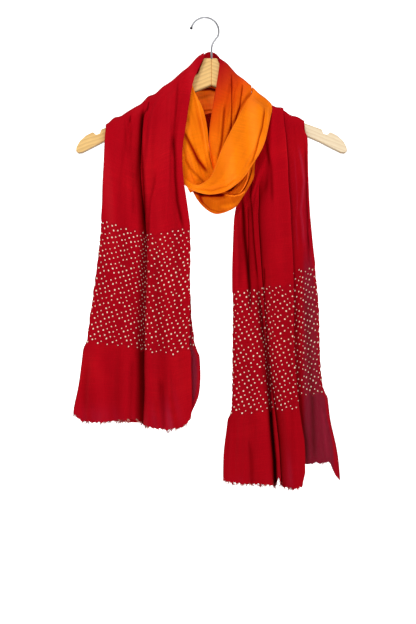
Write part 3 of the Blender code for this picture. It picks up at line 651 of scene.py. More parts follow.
# The tied dots, with their sizes in metres
DOT_TURN = math.radians(-27)
DOT_SPACING = 0.0079
DOT_RADIUS = 0.00112
DOT_WANDER = 0.0035
DOT_WANDER_SCALE = 45.0
DOT_SCATTER = 0.34
DOT_SIZE_LEAST = 0.72
DOT_SIZE_SPREAD = 0.5
DOT_OUTER = 1.15
DOT_INNER = 0.72
DOT_PEAK = 0.55
DOTS_LOST = 0.03

# The cloth's finish. Tones are where a mask starts and ends, rough is a share of
# the pattern and the base that it is added to, bump is its strength and height.
CLOTH_FINISH = {"Sheen Weight": 0.10, "Sheen Roughness": 0.35, "Specular IOR Level": 0.30}
CLOTH_THREAD = 0.0007
SLUB_STRETCH = (28.0, 620.0, 1.0)
WEAVE_SHARE = 0.35
# Painted shade: the tint that a shade of 1 multiplies the colour by, and the near black tint of painted
# shadow in the deepest gaps, where the shade passes 1
PAINTED_SHADE_TINT = (0.30, 0.015, 0.10)
PAINTED_GAP_SHADOW_TINT = (0.08, 0.05, 0.05)
DYE_CLOUD_SCALE = 14.0
DYE_UNEVEN = 0.5
DYE_UNEVEN_LEAST = 0.08
SLUB_TONE = 0.5
SLUB_TONES = (0.15, 0.55)
SLUB_LIGHT = 1.3
CLOTH_ROUGH = (0.16, 0.52)
CLOTH_BUMP = (0.6, 0.0008)
SHEER_PAINT = 0.85
SHEER_OPEN = 0.06
# How a painted highlight, a shade below 0, brightens the colour on rims and light streaks
PAINTED_HIGHLIGHT = {"Saturation": 0.97, "Value": 1.8}
ZONE_PAINT = 0.35
DOT_SHADOW = 0.35
WEAVE_HEIGHT = 0.12
THREAD_FINISH = {"Roughness": 0.6}
THREAD_CLOUD_SCALE = 160.0
THREAD_TONES = (0.5, 0.6)
THREAD_PALE = 0.4

# The hanger's finish
PINE_FINISH = {"Coat Weight": 0.2, "Coat Roughness": 0.3}
PINE_PALE = (0.94, 0.62, 0.23)
PINE_DEEP = (0.52, 0.27, 0.07)
# The painted shade of faces that look down
PINE_UNDER_SHADE = (0.20, 0.11, 0.03)
# A paler tone towards the right arm's end, and where along x it starts and ends
PINE_END_PALE = (0.90, 0.76, 0.54)
PINE_END_PALE_DEEP = (0.66, 0.45, 0.22)
END_PALE_FROM = 0.08
END_PALE_TO = 0.17
GRAIN_TURN = math.radians(22)
GRAIN_STRETCH = (0.16, 1.0, 1.0)
PORE_STRETCH = (60.0, 900.0, 900.0)
RING_SCALE = 55.0
RING_TONES = (0.25, 1.0)
RING_SHARE = 0.34
PORE_SHARE = 0.35
# Where the painted shade of faces that look down starts and ends, by the height of their normal
UNDER_SHADE_FACING = (-0.15, -0.5)
PINE_ROUGH = (0.2, 0.34)
PINE_BUMP = (0.15, 0.0004)
WIRE_FINISH = {"Metallic": 1.0}
WIRE = (0.36, 0.36, 0.38)
WIRE_WEAR_SCALE = 220.0
WIRE_TONES = (0.45, 0.75)
WIRE_DULL = 0.6
WIRE_ROUGH = (0.25, 0.3)
TIP_DARK = (0.03, 0.03, 0.035)
HOOK_TIP = (-25.0, 0.0, -16.2)
HOOK_TIP_RADIUS = 2.4

# The glue line between the two arms, in millimetres
SEAM = 0.3
SEAM_FILL = 0.9
GLUE_INSET = 0.1
GLUE_DEPTH = 1.2
GLUE_SHORT = 1.6


def smooth(share):
    """Ease from 0 to 1."""
    share = np.clip(share, 0, 1)
    return share * share * (3 - 2 * share)


def arch(across):
    """A smooth rise across the width, 0 at both edges and 1 in the middle."""
    return 1 - (2 * across - 1) ** 2


def round_top(offset):
    """A rounded rise, 1 at its middle and 0 from an offset of 1."""
    return 0.5 + 0.5 * np.cos(np.pi * np.minimum(offset, 1))


def add_waves(places, waves):
    """The sum of these waves along some places."""
    return sum(height * np.sin(places * pace + start) for height, pace, start in waves)


def arm_depth(out):
    """How far an arm has bent towards the viewer at this distance out, in mm."""
    return -WOOD_BEND * (out / HALF_SPAN) ** 1.5


def read_column(values, places):
    """Read a table's column smoothly at many places, from 0 to its last index."""
    table = np.asarray(values, float)
    last = len(table) - 1
    index = np.clip(places.astype(int), 0, last - 1)
    before, start, end, after = (
        table[np.clip(index + step, 0, last)] for step in (-1, 0, 1, 2)
    )
    share = places - index
    if table.ndim > 1:
        share = share[:, None]
    tangent_in = (end - before) / 2
    tangent_out = (after - start) / 2
    square = share * share
    cube = square * share
    return (
        start * (2 * cube - 3 * square + 1)
        + tangent_in * (cube - 2 * square + share)
        + end * (3 * square - 2 * cube)
        + tangent_out * (cube - square)
    )


def lines_of(stretch):
    """The stretch's rows at a fine step, as arrays with a line for each."""
    rows = stretch.rows
    arm_rows = len(ARM_STEPS) - 1 if rows[0].lean > rows[-1].lean else 0
    last = len(rows) - 1
    places = np.linspace(0, last, last * ROW_STEPS + 1)
    column = {
        name: read_column([getattr(row, name) for row in rows], places)
        for name in Row._fields
    }
    lean = np.radians(column["lean"])
    span = column["right"] - column["left"]
    width = np.linalg.norm(span, axis=1)
    return Lines(
        left=column["left"],
        right=column["right"],
        under=column["under"],
        facing=np.stack([0 * lean, -np.cos(lean), np.sin(lean)], axis=1),
        gap=column["gap"],
        bulge=column["bulge"],
        sag=column["sag"],
        lift=read_column([stretch.lifts.get(index, 0) for index in range(last + 1)], places),
        part=(places - arm_rows) / (last - arm_rows),
        width=width,
        unit=span / width[:, None],
    )


def hanging(lines):
    """How far each line has come away from the arm's top, from 0 to 1."""
    return smooth(lines.part / CREASE_RAMP + CREASE_START)[:, None]


def fold_lift(folds, across, part):
    """How far the solids' own folds lift the cloth."""
    lift = np.zeros(across.shape)
    for fold in folds:
        path = read_column([fold.start, fold.middle, fold.end], np.clip(2 * part, 0, 2))
        offset = np.abs(across - path[:, None]) / fold.half_width
        fade = np.clip((part - fold.first) / FOLD_FADE, 0, 1)
        if fold.last < 1:
            fade = np.minimum(fade, np.clip((fold.last - part) / FOLD_FADE, 0, 1))
        lift += fold.depth * fade[:, None] * round_top(offset)
    return lift


def crease_lift(creases, x, z):
    """How far the creases lift the cloth, and how much they darken it."""
    lift = np.zeros(x.shape)
    shade = np.zeros(x.shape)
    for crease in creases:
        path = np.array(crease.path, float)
        steps = np.diff(path, axis=0)
        lengths = np.linalg.norm(steps, axis=1)
        gone = np.concatenate([[0], np.cumsum(lengths)])
        nearest = np.full(x.shape, np.inf)
        offset = np.zeros(x.shape)
        share = np.zeros(x.shape)
        for index, (step, length) in enumerate(zip(steps, lengths)):
            to_x = x - path[index, 0]
            to_z = z - path[index, 1]
            along = np.clip((to_x * step[0] + to_z * step[1]) / length**2, 0, 1)
            distance = np.hypot(to_x - along * step[0], to_z - along * step[1])
            side = np.sign(step[0] * to_z - step[1] * to_x)
            closer = distance < nearest
            nearest = np.where(closer, distance, nearest)
            offset = np.where(closer, distance * side, offset)
            share = np.where(closer, (gone[index] + along * length) / gone[-1], share)
        fade = smooth(share / CREASE_FADE) * smooth((1 - share) / CREASE_FADE)
        reach = np.where(offset < 0, crease.left_width, crease.right_width)
        profile = round_top(np.abs(offset) / reach)
        lift += crease.depth * fade * profile
        shade += crease.shade * fade * profile**2
    return lift, shade


def unevenness(x, z, seed, swell):
    """A slow uneven swell of the cloth, the same on each run."""
    dice = np.random.default_rng(seed + swell.seed)
    total = np.zeros(x.shape)
    for _ in range(SWELL_WAVES):
        turn = dice.uniform(-SWELL_TURN, SWELL_TURN)
        slanted = x * math.cos(turn) + z * math.sin(turn) * SWELL_SLANT
        across = slanted / (swell.width * dice.uniform(*SWELL_SPREAD))
        down = z / (swell.length * dice.uniform(*SWELL_SPREAD))
        total += np.sin(2 * math.pi * (across + down + dice.uniform(0, 1)))
    return total * swell.height * 2 / SWELL_WAVES


def lapped(laps, lines, places):
    """Where the columns of a layer lie across it once its laps are folded in.

    Gives the place across (0 to 1), the lift and shade of the laps, and the
    place across the cloth itself in millimetres.
    """
    width = lines.width[:, None]
    part = lines.part
    shares = [
        smooth((part - lap.first) / FOLD_FADE) * smooth((lap.last - part) / FOLD_FADE)
        for lap in laps
    ]
    taken = sum((lap.cloth * share for lap, share in zip(laps, shares)), np.zeros(len(part)))
    cloth = places[None, :] * (width + taken[:, None])
    shift = np.zeros(cloth.shape)
    lift = np.zeros(cloth.shape)
    shade = np.zeros(cloth.shape)
    used = np.zeros(len(part))
    for lap, share in zip(laps, shares):
        path = read_column([lap.start, lap.middle, lap.end], np.clip(2 * part, 0, 2))
        middle = (path * lines.width + used + lap.cloth * share / 2)[:, None]
        on = share[:, None]
        past = cloth - middle
        turned = smooth(past / (2 * LAP_TURN) + 0.5)
        shift += lap.cloth * on * turned
        used = used + lap.cloth * share
        if lap.top == "left":
            past = -past
            turned = 1 - turned
        lift += lap.height * on * turned * (1 - smooth((past - LAP_TURN) / LAP_REACH))
        # Painted shadow of the upper side on the lower side, fading away from its edge
        open_side = np.maximum(-past - lap.cloth + LAP_TURN, 0)
        shade += LAP_DARK * on * (1 - turned) * np.exp(-((open_side / lap.shadow) ** LAP_EASE))
    return (cloth - shift) / width, lift, shade, cloth


def patch_light(stretch, x, z):
    """How much light comes through a stretch's thin patches, from 0 to 1."""
    light = np.zeros(x.shape)
    for patch in stretch.patches:
        offset = ((x - patch.x) / patch.wide) ** 2 + ((z - patch.z) / patch.tall) ** 2
        light += patch.share * np.exp(-offset)
    light *= PATCH_EVEN + PATCH_UNEVEN * unevenness(x, z, stretch.seed, THIN_SWELL)
    return np.clip(light, 0, 1)


def front_layer(stretch, lines, places, hold_right=False):
    """The layer that faces outwards, from its left edge to its right one."""
    across, lap_lift, shade, cloth = lapped(stretch.laps, lines, places)
    width = lines.width[:, None]
    flat = lines.left[:, None, :] + (lines.right - lines.left)[:, None, :] * across[:, :, None]
    flat[:, :, 2] += lines.sag[:, None] * arch(across)
    x, z = flat[:, :, 0], flat[:, :, 2]
    crease, crease_shade = crease_lift(stretch.creases, x, z)
    edge = smooth(across * width / EDGE_HOLD)
    if hold_right:
        edge = edge * smooth((1 - across) * width / EDGE_HOLD)
    swell = unevenness(x, z, stretch.seed, FRONT_SWELL)
    folds = fold_lift(stretch.folds, across, lines.part)
    extra = (folds + crease * hanging(lines) + swell) * edge
    lift = (lines.gap / 2)[:, None] + lines.bulge[:, None] * arch(across) + extra + lap_lift
    points = flat + lines.facing[:, None, :] * lift[:, :, None]
    hem_dip(points, across, stretch.hem, lines)
    light = patch_light(stretch, x, z)
    shown = smooth(lines.part / SHADE_RAMP + SHADE_START)[:, None]
    # Painted light where it comes through thin patches, and painted shade of the creases
    shade = shade - PATCH_LIGHT * light + crease_shade * shown
    density = 1 + CROWDING * np.clip(shade, 0, 1)
    # Broad random clouds of painted light and shade
    shade = shade + PAINTED_SHADE_CLOUDS * unevenness(x, z, stretch.seed, PAINTED_SHADE_SWELL)
    crowded = np.cumsum(np.diff(cloth, axis=1, prepend=cloth[:, :1]) * density, axis=1)
    return Layer(points, crowded, shade, FRONT_SHEER * light, across)


def hem_dip(points, across, hems, lines):
    """Let a layer's hem dip and swing out as its table says."""
    if not hems:
        return
    low = smooth((lines.part - HEM_START) / (1 - HEM_START))[:, None]
    end = smooth((lines.part - RAG_START) / (1 - RAG_START))[:, None]
    places = [hem.across for hem in hems]
    points[:, :, 2] -= np.interp(across, places, [hem.dip for hem in hems]) * low
    points[:, :, 0] += np.interp(across, places, [hem.out for hem in hems]) * low**2
    points[:, :, 2] += HEM_RAG * add_waves(across * lines.width[:, None], RAG_WAVES) * end


def turned_edge(corner, inwards, lines, outward_first):
    """The round of a folded edge, from one layer to the other."""
    radius = (lines.gap / 2)[:, None]
    centre = corner + inwards * radius
    turns = [math.pi * (step + 1) / (EDGE_STEPS + 1) for step in range(EDGE_STEPS)]
    if not outward_first:
        turns.reverse()
    rounds = [
        centre + lines.facing * radius * math.cos(turn) - inwards * radius * math.sin(turn)
        for turn in turns
    ]
    return np.stack(rounds, axis=1)


def plain_layer(points, cloth, shade=0.0):
    """A layer with nothing on it but its place across the cloth."""
    flat = np.full(points.shape[:2], float(shade))
    return Layer(points, cloth, flat, 0 * flat, 0 * flat)


def under_layer(stretch, lines, places):
    """The layer behind a tail, from its fold to its free edge."""
    width = lines.width[:, None]
    under = lines.under[:, None]
    radius = (lines.gap / 2)[:, None]
    reach = radius + (under - radius) * places[None, :]
    share = places[None, :] + 0 * reach
    ripple = UNDER_RIPPLE * fold_lift(stretch.folds, share, lines.part)
    flat = lines.left[:, None, :] + lines.unit[:, None, :] * reach[:, :, None]
    x, z = flat[:, :, 0], flat[:, :, 2]
    crease, crease_shade = crease_lift(stretch.back_creases, x, z)
    swell = unevenness(x, z, stretch.seed, BACK_SWELL) * smooth(reach / UNDER_HOLD)
    depth = radius - np.minimum(ripple, 0) - (crease + np.minimum(swell, 0)) * hanging(lines)
    points = flat - lines.facing[:, None, :] * depth[:, :, None]
    points[:, :, 2] += lines.lift[:, None] * share
    points[:, :, 2] += lines.sag[:, None] * arch(np.minimum(reach / width, 1))
    hem_dip(points, share, stretch.back_hem, lines)
    height = points[:, :, 2]
    beyond = smooth((reach - width) / RIM_WIDTH + 0.5)
    rim = smooth((reach - under + RIM_WIDTH) / RIM_FADE)
    low = smooth((SHEER_LOW - height) / SHEER_FADE)
    # How much light is painted through the layer behind where it shows past the front
    clear = beyond * (1 - RIM_CLEAR * rim) * smooth((SHEER_START - height) / SHEER_FADE)
    clear *= SHEER_TOP + (1 - SHEER_TOP) * low
    clear *= smooth((x - stretch.sheer_from) / SHEER_SIDE)
    clear = np.maximum(clear, beyond * np.clip(-LIT_SHEER * crease_shade, 0, LIT_SHEER_MOST))
    # Painted shade from the creases, and on the layer behind where it shows past the front
    shade = (crease_shade + BACK_PAINTED_SHADE * beyond * (1 - rim)) * hanging(lines)
    return Layer(points, -BACK_CROWDING * reach, shade, clear, share)


def tail_layers(stretch, lines):
    """A tail: its front layer from the free edge, the fold, and the layer behind."""
    front = front_layer(stretch, lines, np.linspace(0, 1, FRONT_COLUMNS))
    front = Layer(*[column[:, ::-1] for column in front])
    edge = np.zeros((len(lines.part), EDGE_STEPS))
    fold = plain_layer(turned_edge(lines.left, lines.unit, lines, True), edge)
    under = under_layer(stretch, lines, np.linspace(0, 1, UNDER_COLUMNS))
    return [front, fold, under]


def strand_layers(stretch, lines):
    """A strand: both of its edges are folded back behind it."""
    inset = float(np.mean(lines.gap / 2 / lines.width))
    places = np.linspace(inset, 1 - inset, STRAND_COLUMNS)
    front = front_layer(stretch, lines, places, hold_right=True)
    width = lines.width[:, None]
    flap = np.minimum(lines.under, FLAP_LIMIT * lines.width)[:, None]
    behind = lines.facing * (lines.gap / 2)[:, None]
    edge = np.zeros((len(lines.part), EDGE_STEPS))
    out = np.linspace(1, FLAP_END, FLAP_COLUMNS)
    back = out[::-1]
    left = np.stack([lines.left + lines.unit * flap * share - behind for share in out], axis=1)
    right = np.stack([lines.right - lines.unit * flap * share - behind for share in back], axis=1)
    left_edge = turned_edge(lines.left, lines.unit, lines, False)
    right_edge = turned_edge(lines.right, -lines.unit, lines, True)
    # Both folded edges get a painted highlight
    return [
        plain_layer(left, -flap * out[None, :]),
        plain_layer(left_edge, edge, EDGE_PAINTED_HIGHLIGHT),
        front,
        plain_layer(right_edge, edge + width, EDGE_PAINTED_HIGHLIGHT),
        plain_layer(right, width + flap * back[None, :]),
    ]


def band_layers(stretch, lines):
    """A band: one open layer with pleats along it."""
    return [front_layer(stretch, lines, np.linspace(0, 1, BAND_COLUMNS), hold_right=True)]


def dotted_height(layer, dots):
    """Heights above the dotted zone's lower edge, in millimetres of cloth."""
    across = [edge.across for edge in dots]
    low = np.interp(layer.across, across, [edge.low for edge in dots])
    high = np.interp(layer.across, across, [edge.high for edge in dots])
    return (layer.points[:, :, 2] - low) / (high - low) * DOT_ZONE


def cloth_heights(stretch, lines, layers):
    """Each layer's places along the cloth, counted from the dotted zone if it has one."""
    middle = (lines.left + lines.right) / 2
    gone = np.concatenate([[0], np.cumsum(np.linalg.norm(np.diff(middle, axis=0), axis=1))])
    heights = []
    for index, layer in enumerate(layers):
        if not stretch.dots:
            heights.append(PLAIN - gone[:, None] + 0 * layer.across)
        elif index < 2:
            heights.append(dotted_height(layer, stretch.dots))
        else:
            heights.append(dotted_height(layer, stretch.back_dots or stretch.dots))
    return heights


def flare_hem(points, heights):
    """The cloth is drawn in where it is dotted, and spreads below its dots."""
    x = points[:, :, 0]
    left = x.min(axis=1, keepdims=True)
    right = x.max(axis=1, keepdims=True)
    side = 2 * (x - left) / (right - left) - 1
    plain = smooth(-heights / FLARE_FADE)
    dotted = smooth(heights / DOT_FADE) * smooth((DOT_ZONE - heights) / DOT_FADE)
    scallop = add_waves(heights, SCALLOP_WAVES) * dotted
    points[:, :, 0] += side**3 * (HEM_FLARE * (plain - DOT_PINCH * dotted) + scallop)


def rumple_ridge(points, lines, seed):
    """Small rises of the cloth where it lies over its arm."""
    x = points[:, :, 0]
    fine, coarse = RIDGE_PACES
    rise = (0.5 + 0.5 * np.sin(fine * x + seed)) * (0.6 + 0.4 * np.sin(coarse * x + 2 * seed))
    points[:, :, 2] += RIDGE_RISE * rise * smooth((RIDGE_END - lines.part) / RIDGE_END)[:, None]


def new_piece(name, mesh):
    """Put a finished mesh into the scene."""
    piece = bpy.data.objects.new(name, mesh)
    bpy.context.scene.collection.objects.link(piece)
    return piece


def mesh_of(name, shape):
    """Turn a bmesh into a mesh, and let the bmesh go."""
    mesh = bpy.data.meshes.new(name)
    shape.to_mesh(mesh)
    shape.free()
    return mesh


def sheet_mesh(name, points, cloth, heights, masks):
    """A grid of cloth laid on these points, with its own map and masks."""
    lines, columns = cloth.shape
    grid = bmesh.new()
    bmesh.ops.create_grid(grid, x_segments=columns - 1, y_segments=lines - 1, size=0.5)
    mesh = mesh_of(name, grid)
    places = np.empty(len(mesh.vertices) * 3)
    mesh.vertices.foreach_get("co", places)
    places = places.reshape(-1, 3)
    column = np.rint((places[:, 0] + 0.5) * (columns - 1)).astype(int)
    line = np.rint((places[:, 1] + 0.5) * (lines - 1)).astype(int)
    placed = points.copy()
    placed[:, :, 1] += arm_depth(np.minimum(np.abs(points[:, :, 0] - HANGER_X), HANG_LIMIT))
    mesh.vertices.foreach_set("co", (placed[line, column] * MM).ravel())
    corners = np.empty(len(mesh.loops), dtype=int)
    mesh.loops.foreach_get("vertex_index", corners)
    chart = np.stack([cloth[line, column], heights[line, column]], axis=1)[corners] * MM
    mesh.uv_layers.new(name="Cloth").uv.foreach_set("vector", chart.ravel())
    for label, mask in masks.items():
        attribute = mesh.attributes.new(label, "FLOAT", "POINT")
        attribute.data.foreach_set("value", mask[line, column].astype(np.float32))
    mesh.shade_smooth()
    mesh.update()
    return mesh, placed


def lay_stretch(stretch, thickness, material):
    """Build one stretch of the scarf and let it stand for its solid."""
    lines = lines_of(stretch)
    layers = stretch.section(stretch, lines)
    heights = np.concatenate(cloth_heights(stretch, lines, layers), axis=1)
    points, cloth, shade, sheer = (
        np.concatenate([getattr(layer, name) for layer in layers], axis=1)
        for name in ("points", "across_cloth", "shade", "sheer")
    )
    if stretch.dots:
        flare_hem(points, heights)
    rumple_ridge(points, lines, stretch.seed)
    dye = sorted(stretch.dye)
    down = points[:, :, 2] - stretch.tilt * (points[:, :, 0] - lines.left[:, None, 0])
    # Painted shade: each stretch's own painted shade over all of it, and painted shade that grows lower
    # down as the light falls off
    low = smooth((LOW_START - points[:, :, 2]) / LOW_REACH)
    masks = {
        "shade": shade + stretch.dusk + LOW_PAINTED_SHADE * low,
        "sheer": sheer,
        "dye": np.interp(down, [place[0] for place in dye], [place[1] for place in dye]),
    }
    name = "cloth_" + stretch.node
    mesh, placed = sheet_mesh(name, points, cloth, heights, masks)
    mesh.materials.append(material)
    piece = new_piece(name, mesh)
    wall = piece.modifiers.new("Cloth thickness", "SOLIDIFY")
    wall.thickness = thickness
    wall.offset = 0.0
    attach(piece, "root")
    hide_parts(stretch.node)
    return piece, placed


def add_fringe(name, points, count, seed, material):
    """Loose threads along a raw hem, as one mesh of fine tubes."""
    dice = np.random.default_rng(seed)
    curve = bpy.data.curves.new(name, "CURVE")
    curve.dimensions = "3D"
    curve.bevel_depth = THREAD_RADIUS * MM
    curve.bevel_resolution = 0
    curve.resolution_u = 1
    last = len(points) - 1
    for thread in range(count):
        if thread % TUFT == 0:
            tuft = dice.uniform(1, last - 2)
            lean = dice.normal(0, TUFT_LEAN)
        place = np.clip(tuft + dice.normal(0, TUFT_SPREAD), 0, last - 1.01)
        before = int(place)
        root = points[before] + (points[before + 1] - points[before]) * (place - before)
        root = root + THREAD_ROOT
        aim = np.array([lean + dice.normal(0, THREAD_SWAY_X), dice.normal(0, THREAD_SWAY_Y), -1.0])
        aim /= np.linalg.norm(aim)
        curl = np.array([
            dice.normal(0, THREAD_CURL_X),
            dice.normal(0, THREAD_CURL_Y),
            dice.uniform(*THREAD_CURL_Z),
        ])
        length = THREAD_REACH * dice.uniform(THREAD_LEAST, 1.0)
        spline = curve.splines.new("POLY")
        spline.points.add(THREAD_BENDS)
        for step, point in enumerate(spline.points):
            share = step / THREAD_BENDS
            spot = root + (aim * share + curl * share * share) * length
            point.co = (*(spot * MM), 1.0)
            point.radius = 1.0 - THREAD_TAPER * share
    fringe = curve_mesh(name, curve)
    fringe.data.materials.clear()
    fringe.data.materials.append(material)
    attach(fringe, "root")
    return fringe


def curve_mesh(name, curve):
    """Turn a bevelled curve into a mesh object of its own."""
    wire = new_piece(name + "_path", curve)
    bpy.context.view_layer.update()
    evaluated = wire.evaluated_get(bpy.context.evaluated_depsgraph_get())
    mesh = bpy.data.meshes.new_from_object(evaluated)
    bpy.data.objects.remove(wire, do_unlink=True)
    return new_piece(name, mesh)


def set_inputs(tree, node, inputs):
    """Put values or links on a node's inputs."""
    for key, value in inputs.items():
        if isinstance(value, bpy.types.NodeSocket):
            tree.links.new(value, node.inputs[key])
        else:
            node.inputs[key].default_value = value


def add_node(tree, kind, inputs=None, **settings):
    """Add a shader node, with its settings and with values or links on its inputs."""
    made = tree.nodes.new(kind)
    for name, value in settings.items():
        setattr(made, name, value)
    set_inputs(tree, made, inputs or {})
    return made


def calculate(tree, operation, *values, clamp=False):
    """One Math node, and its result."""
    inputs = dict(enumerate(values))
    made = add_node(tree, "ShaderNodeMath", inputs, operation=operation, use_clamp=clamp)
    return made.outputs[0]


def calculate_vector(tree, operation, first, second):
    """One Vector Math node, and its result."""
    key = "Scale" if operation == "SCALE" else 1
    made = add_node(tree, "ShaderNodeVectorMath", {0: first, key: second}, operation=operation)
    return made.outputs[0]


def ease_between(tree, value, low, high):
    """Ease from 0 at low to 1 at high."""
    made = add_node(
        tree, "ShaderNodeMapRange", {"Value": value, "From Min": low, "From Max": high},
        interpolation_type="SMOOTHSTEP",
    )
    return made.outputs["Result"]


def blend_colors(tree, share, first, second):
    """Mix two colours by a share."""
    made = add_node(tree, "ShaderNodeMix", data_type="RGBA")
    set_inputs(tree, made, {0: share, 6: first, 7: second})
    return made.outputs[2]


def opaque(color):
    """A colour with its alpha."""
    return (*color, 1.0)


def noise(tree, place, scale, detail=2.0):
    """The outputs of a noise texture at these places."""
    inputs = {"Vector": place, "Scale": scale, "Detail": detail}
    return add_node(tree, "ShaderNodeTexNoise", inputs).outputs


def turn_chart(tree, place, turn):
    """Turn a place on the cloth's chart."""
    inputs = {"Vector": place, "Angle": turn}
    return add_node(tree, "ShaderNodeVectorRotate", inputs, rotation_type="Z_AXIS").outputs[0]


def mapped(tree, place, **changes):
    """A place after a Mapping node has turned or scaled it."""
    return add_node(tree, "ShaderNodeMapping", {"Vector": place, **changes}).outputs[0]


def bump(tree, height, strength, distance):
    """The normal that a height gives."""
    inputs = {"Height": height, "Strength": strength, "Distance": distance}
    return add_node(tree, "ShaderNodeBump", inputs).outputs[0]


def new_group(name, inputs, outputs):
    """An empty shader node group with named sockets."""
    group = bpy.data.node_groups.new(name, "ShaderNodeTree")
    for label, kind, default in inputs:
        socket = group.interface.new_socket(name=label, in_out="INPUT", socket_type=kind)
        if default is not None:
            socket.default_value = default
    for label in outputs:
        group.interface.new_socket(name=label, in_out="OUTPUT", socket_type="NodeSocketFloat")
    entry = group.nodes.new("NodeGroupInput")
    result = group.nodes.new("NodeGroupOutput")
    return group, entry.outputs, result


def tied_dots_group():
    """Small tied and dyed dots on a diagonal lattice, whole dots only."""
    group, given, result = new_group(
        "Tied dots",
        [
            ("Vector", "NodeSocketVector", None),
            ("Spacing", "NodeSocketFloat", DOT_SPACING),
            ("Radius", "NodeSocketFloat", DOT_RADIUS),
            ("Zone", "NodeSocketFloat", DOT_ZONE * MM),
        ],
        ["Dots", "Height", "Zone"],
    )
    wander = noise(group, given["Vector"], DOT_WANDER_SCALE, 1.0)["Color"]
    shifted = calculate_vector(group, "SUBTRACT", wander, (0.5, 0.5, 0.5))
    small = calculate_vector(group, "SCALE", shifted, DOT_WANDER)
    moved = calculate_vector(group, "ADD", given["Vector"], small)
    cells = calculate(group, "DIVIDE", 1.0, given["Spacing"])
    scaled = calculate_vector(group, "SCALE", turn_chart(group, moved, DOT_TURN), cells)
    lattice = add_node(
        group, "ShaderNodeTexVoronoi", {"Vector": scaled, "Scale": 1.0, "Randomness": DOT_SCATTER},
        voronoi_dimensions="2D",
    ).outputs
    centre = calculate_vector(group, "SCALE", lattice["Position"], given["Spacing"])
    upright = turn_chart(group, centre, -DOT_TURN)
    height = add_node(group, "ShaderNodeSeparateXYZ", {"Vector": upright}).outputs["Y"]
    above = calculate(group, "GREATER_THAN", height, 0.0)
    below = calculate(group, "LESS_THAN", height, given["Zone"])
    inside = calculate(group, "MULTIPLY", above, below)
    chance = add_node(group, "ShaderNodeSeparateColor", {"Color": lattice["Color"]}).outputs
    size = calculate(group, "MULTIPLY_ADD", chance[0], DOT_SIZE_SPREAD, DOT_SIZE_LEAST)
    size = calculate(group, "MULTIPLY", size, calculate(group, "MULTIPLY", given["Radius"], cells))
    outer = calculate(group, "MULTIPLY", size, DOT_OUTER)
    inner = calculate(group, "MULTIPLY", size, DOT_INNER)
    dot = ease_between(group, lattice["Distance"], outer, inner)
    kept = calculate(group, "GREATER_THAN", chance[1], DOTS_LOST)
    peak = ease_between(group, lattice["Distance"], DOT_PEAK, 0.0)
    set_inputs(group, result, {
        "Dots": calculate(group, "MULTIPLY", calculate(group, "MULTIPLY", dot, inside), kept),
        "Height": calculate(group, "MULTIPLY", peak, inside),
        "Zone": inside,
    })
    return group


def fine_weave_group():
    """A fine plain weave with slubs that run across the cloth."""
    group, given, result = new_group(
        "Fine weave",
        [("Vector", "NodeSocketVector", None), ("Thread", "NodeSocketFloat", CLOTH_THREAD)],
        ["Height", "Slub"],
    )
    count = calculate(group, "DIVIDE", math.pi, given["Thread"])
    chart = add_node(group, "ShaderNodeSeparateXYZ", {"Vector": given["Vector"]}).outputs
    warp = calculate(group, "SINE", calculate(group, "MULTIPLY", chart["X"], count))
    weft = calculate(group, "SINE", calculate(group, "MULTIPLY", chart["Y"], count))
    cross = calculate(group, "MULTIPLY", warp, weft)
    slub = noise(group, mapped(group, given["Vector"], Scale=SLUB_STRETCH), 1.0, 3.0)["Fac"]
    height = calculate(group, "MULTIPLY_ADD", cross, WEAVE_SHARE, slub)
    set_inputs(group, result, {"Height": height, "Slub": slub})
    return group


def pine_grain_group():
    """Growth rings and fine pores of a pale board, along its own X."""
    group, given, result = new_group(
        "Pine grain",
        [("Vector", "NodeSocketVector", None), ("Rings", "NodeSocketFloat", RING_SCALE)],
        ["Rings", "Pores"],
    )
    rings = add_node(
        group,
        "ShaderNodeTexWave",
        {
            "Vector": mapped(group, given["Vector"], Scale=GRAIN_STRETCH),
            "Scale": given["Rings"], "Distortion": 5.0,
            "Detail": 3.0, "Detail Scale": 1.4, "Detail Roughness": 0.6,
        },
        wave_type="BANDS",
        bands_direction="Z",
        wave_profile="SAW",
    ).outputs["Fac"]
    pores = noise(group, mapped(group, given["Vector"], Scale=PORE_STRETCH), 1.0)["Fac"]
    set_inputs(group, result, {"Rings": rings, "Pores": pores})
    return group


Groups = namedtuple("Groups", "dots weave grain")


def shared_groups():
    """The node groups that more than one material uses, built once."""
    made = bpy.data.node_groups
    return Groups(
        made.get("Tied dots") or tied_dots_group(),
        made.get("Fine weave") or fine_weave_group(),
        made.get("Pine grain") or pine_grain_group(),
    )


def place_group(tree, group, inputs):
    """Put a node group into a material with its own values."""
    return add_node(tree, "ShaderNodeGroup", inputs, node_tree=group).outputs


def new_material(name, finish):
    """A material whose shader has these values, with its tree and its shader."""
    material = bpy.data.materials.new(name)
    material.use_nodes = True
    tree = material.node_tree
    shader = tree.nodes["Principled BSDF"]
    set_inputs(tree, shader, finish)
    return material, tree, shader


def mask_on(tree, name):
    """One of the cloth's own masks."""
    return add_node(tree, "ShaderNodeAttribute", attribute_name=name).outputs["Fac"]


def own_place(tree):
    """The place on the object itself."""
    return add_node(tree, "ShaderNodeTexCoord").outputs["Object"]


def darken(tree, share, color, tint):
    """Multiply a colour by a tint, by a share."""
    return blend_colors(tree, share, color, calculate_vector(tree, "MULTIPLY", color, tint))


def brighten(tree, share, color, change):
    """Change a colour's value and saturation, by a share."""
    bright = add_node(tree, "ShaderNodeHueSaturation", {"Color": color, **change}).outputs[0]
    return blend_colors(tree, share, color, bright)


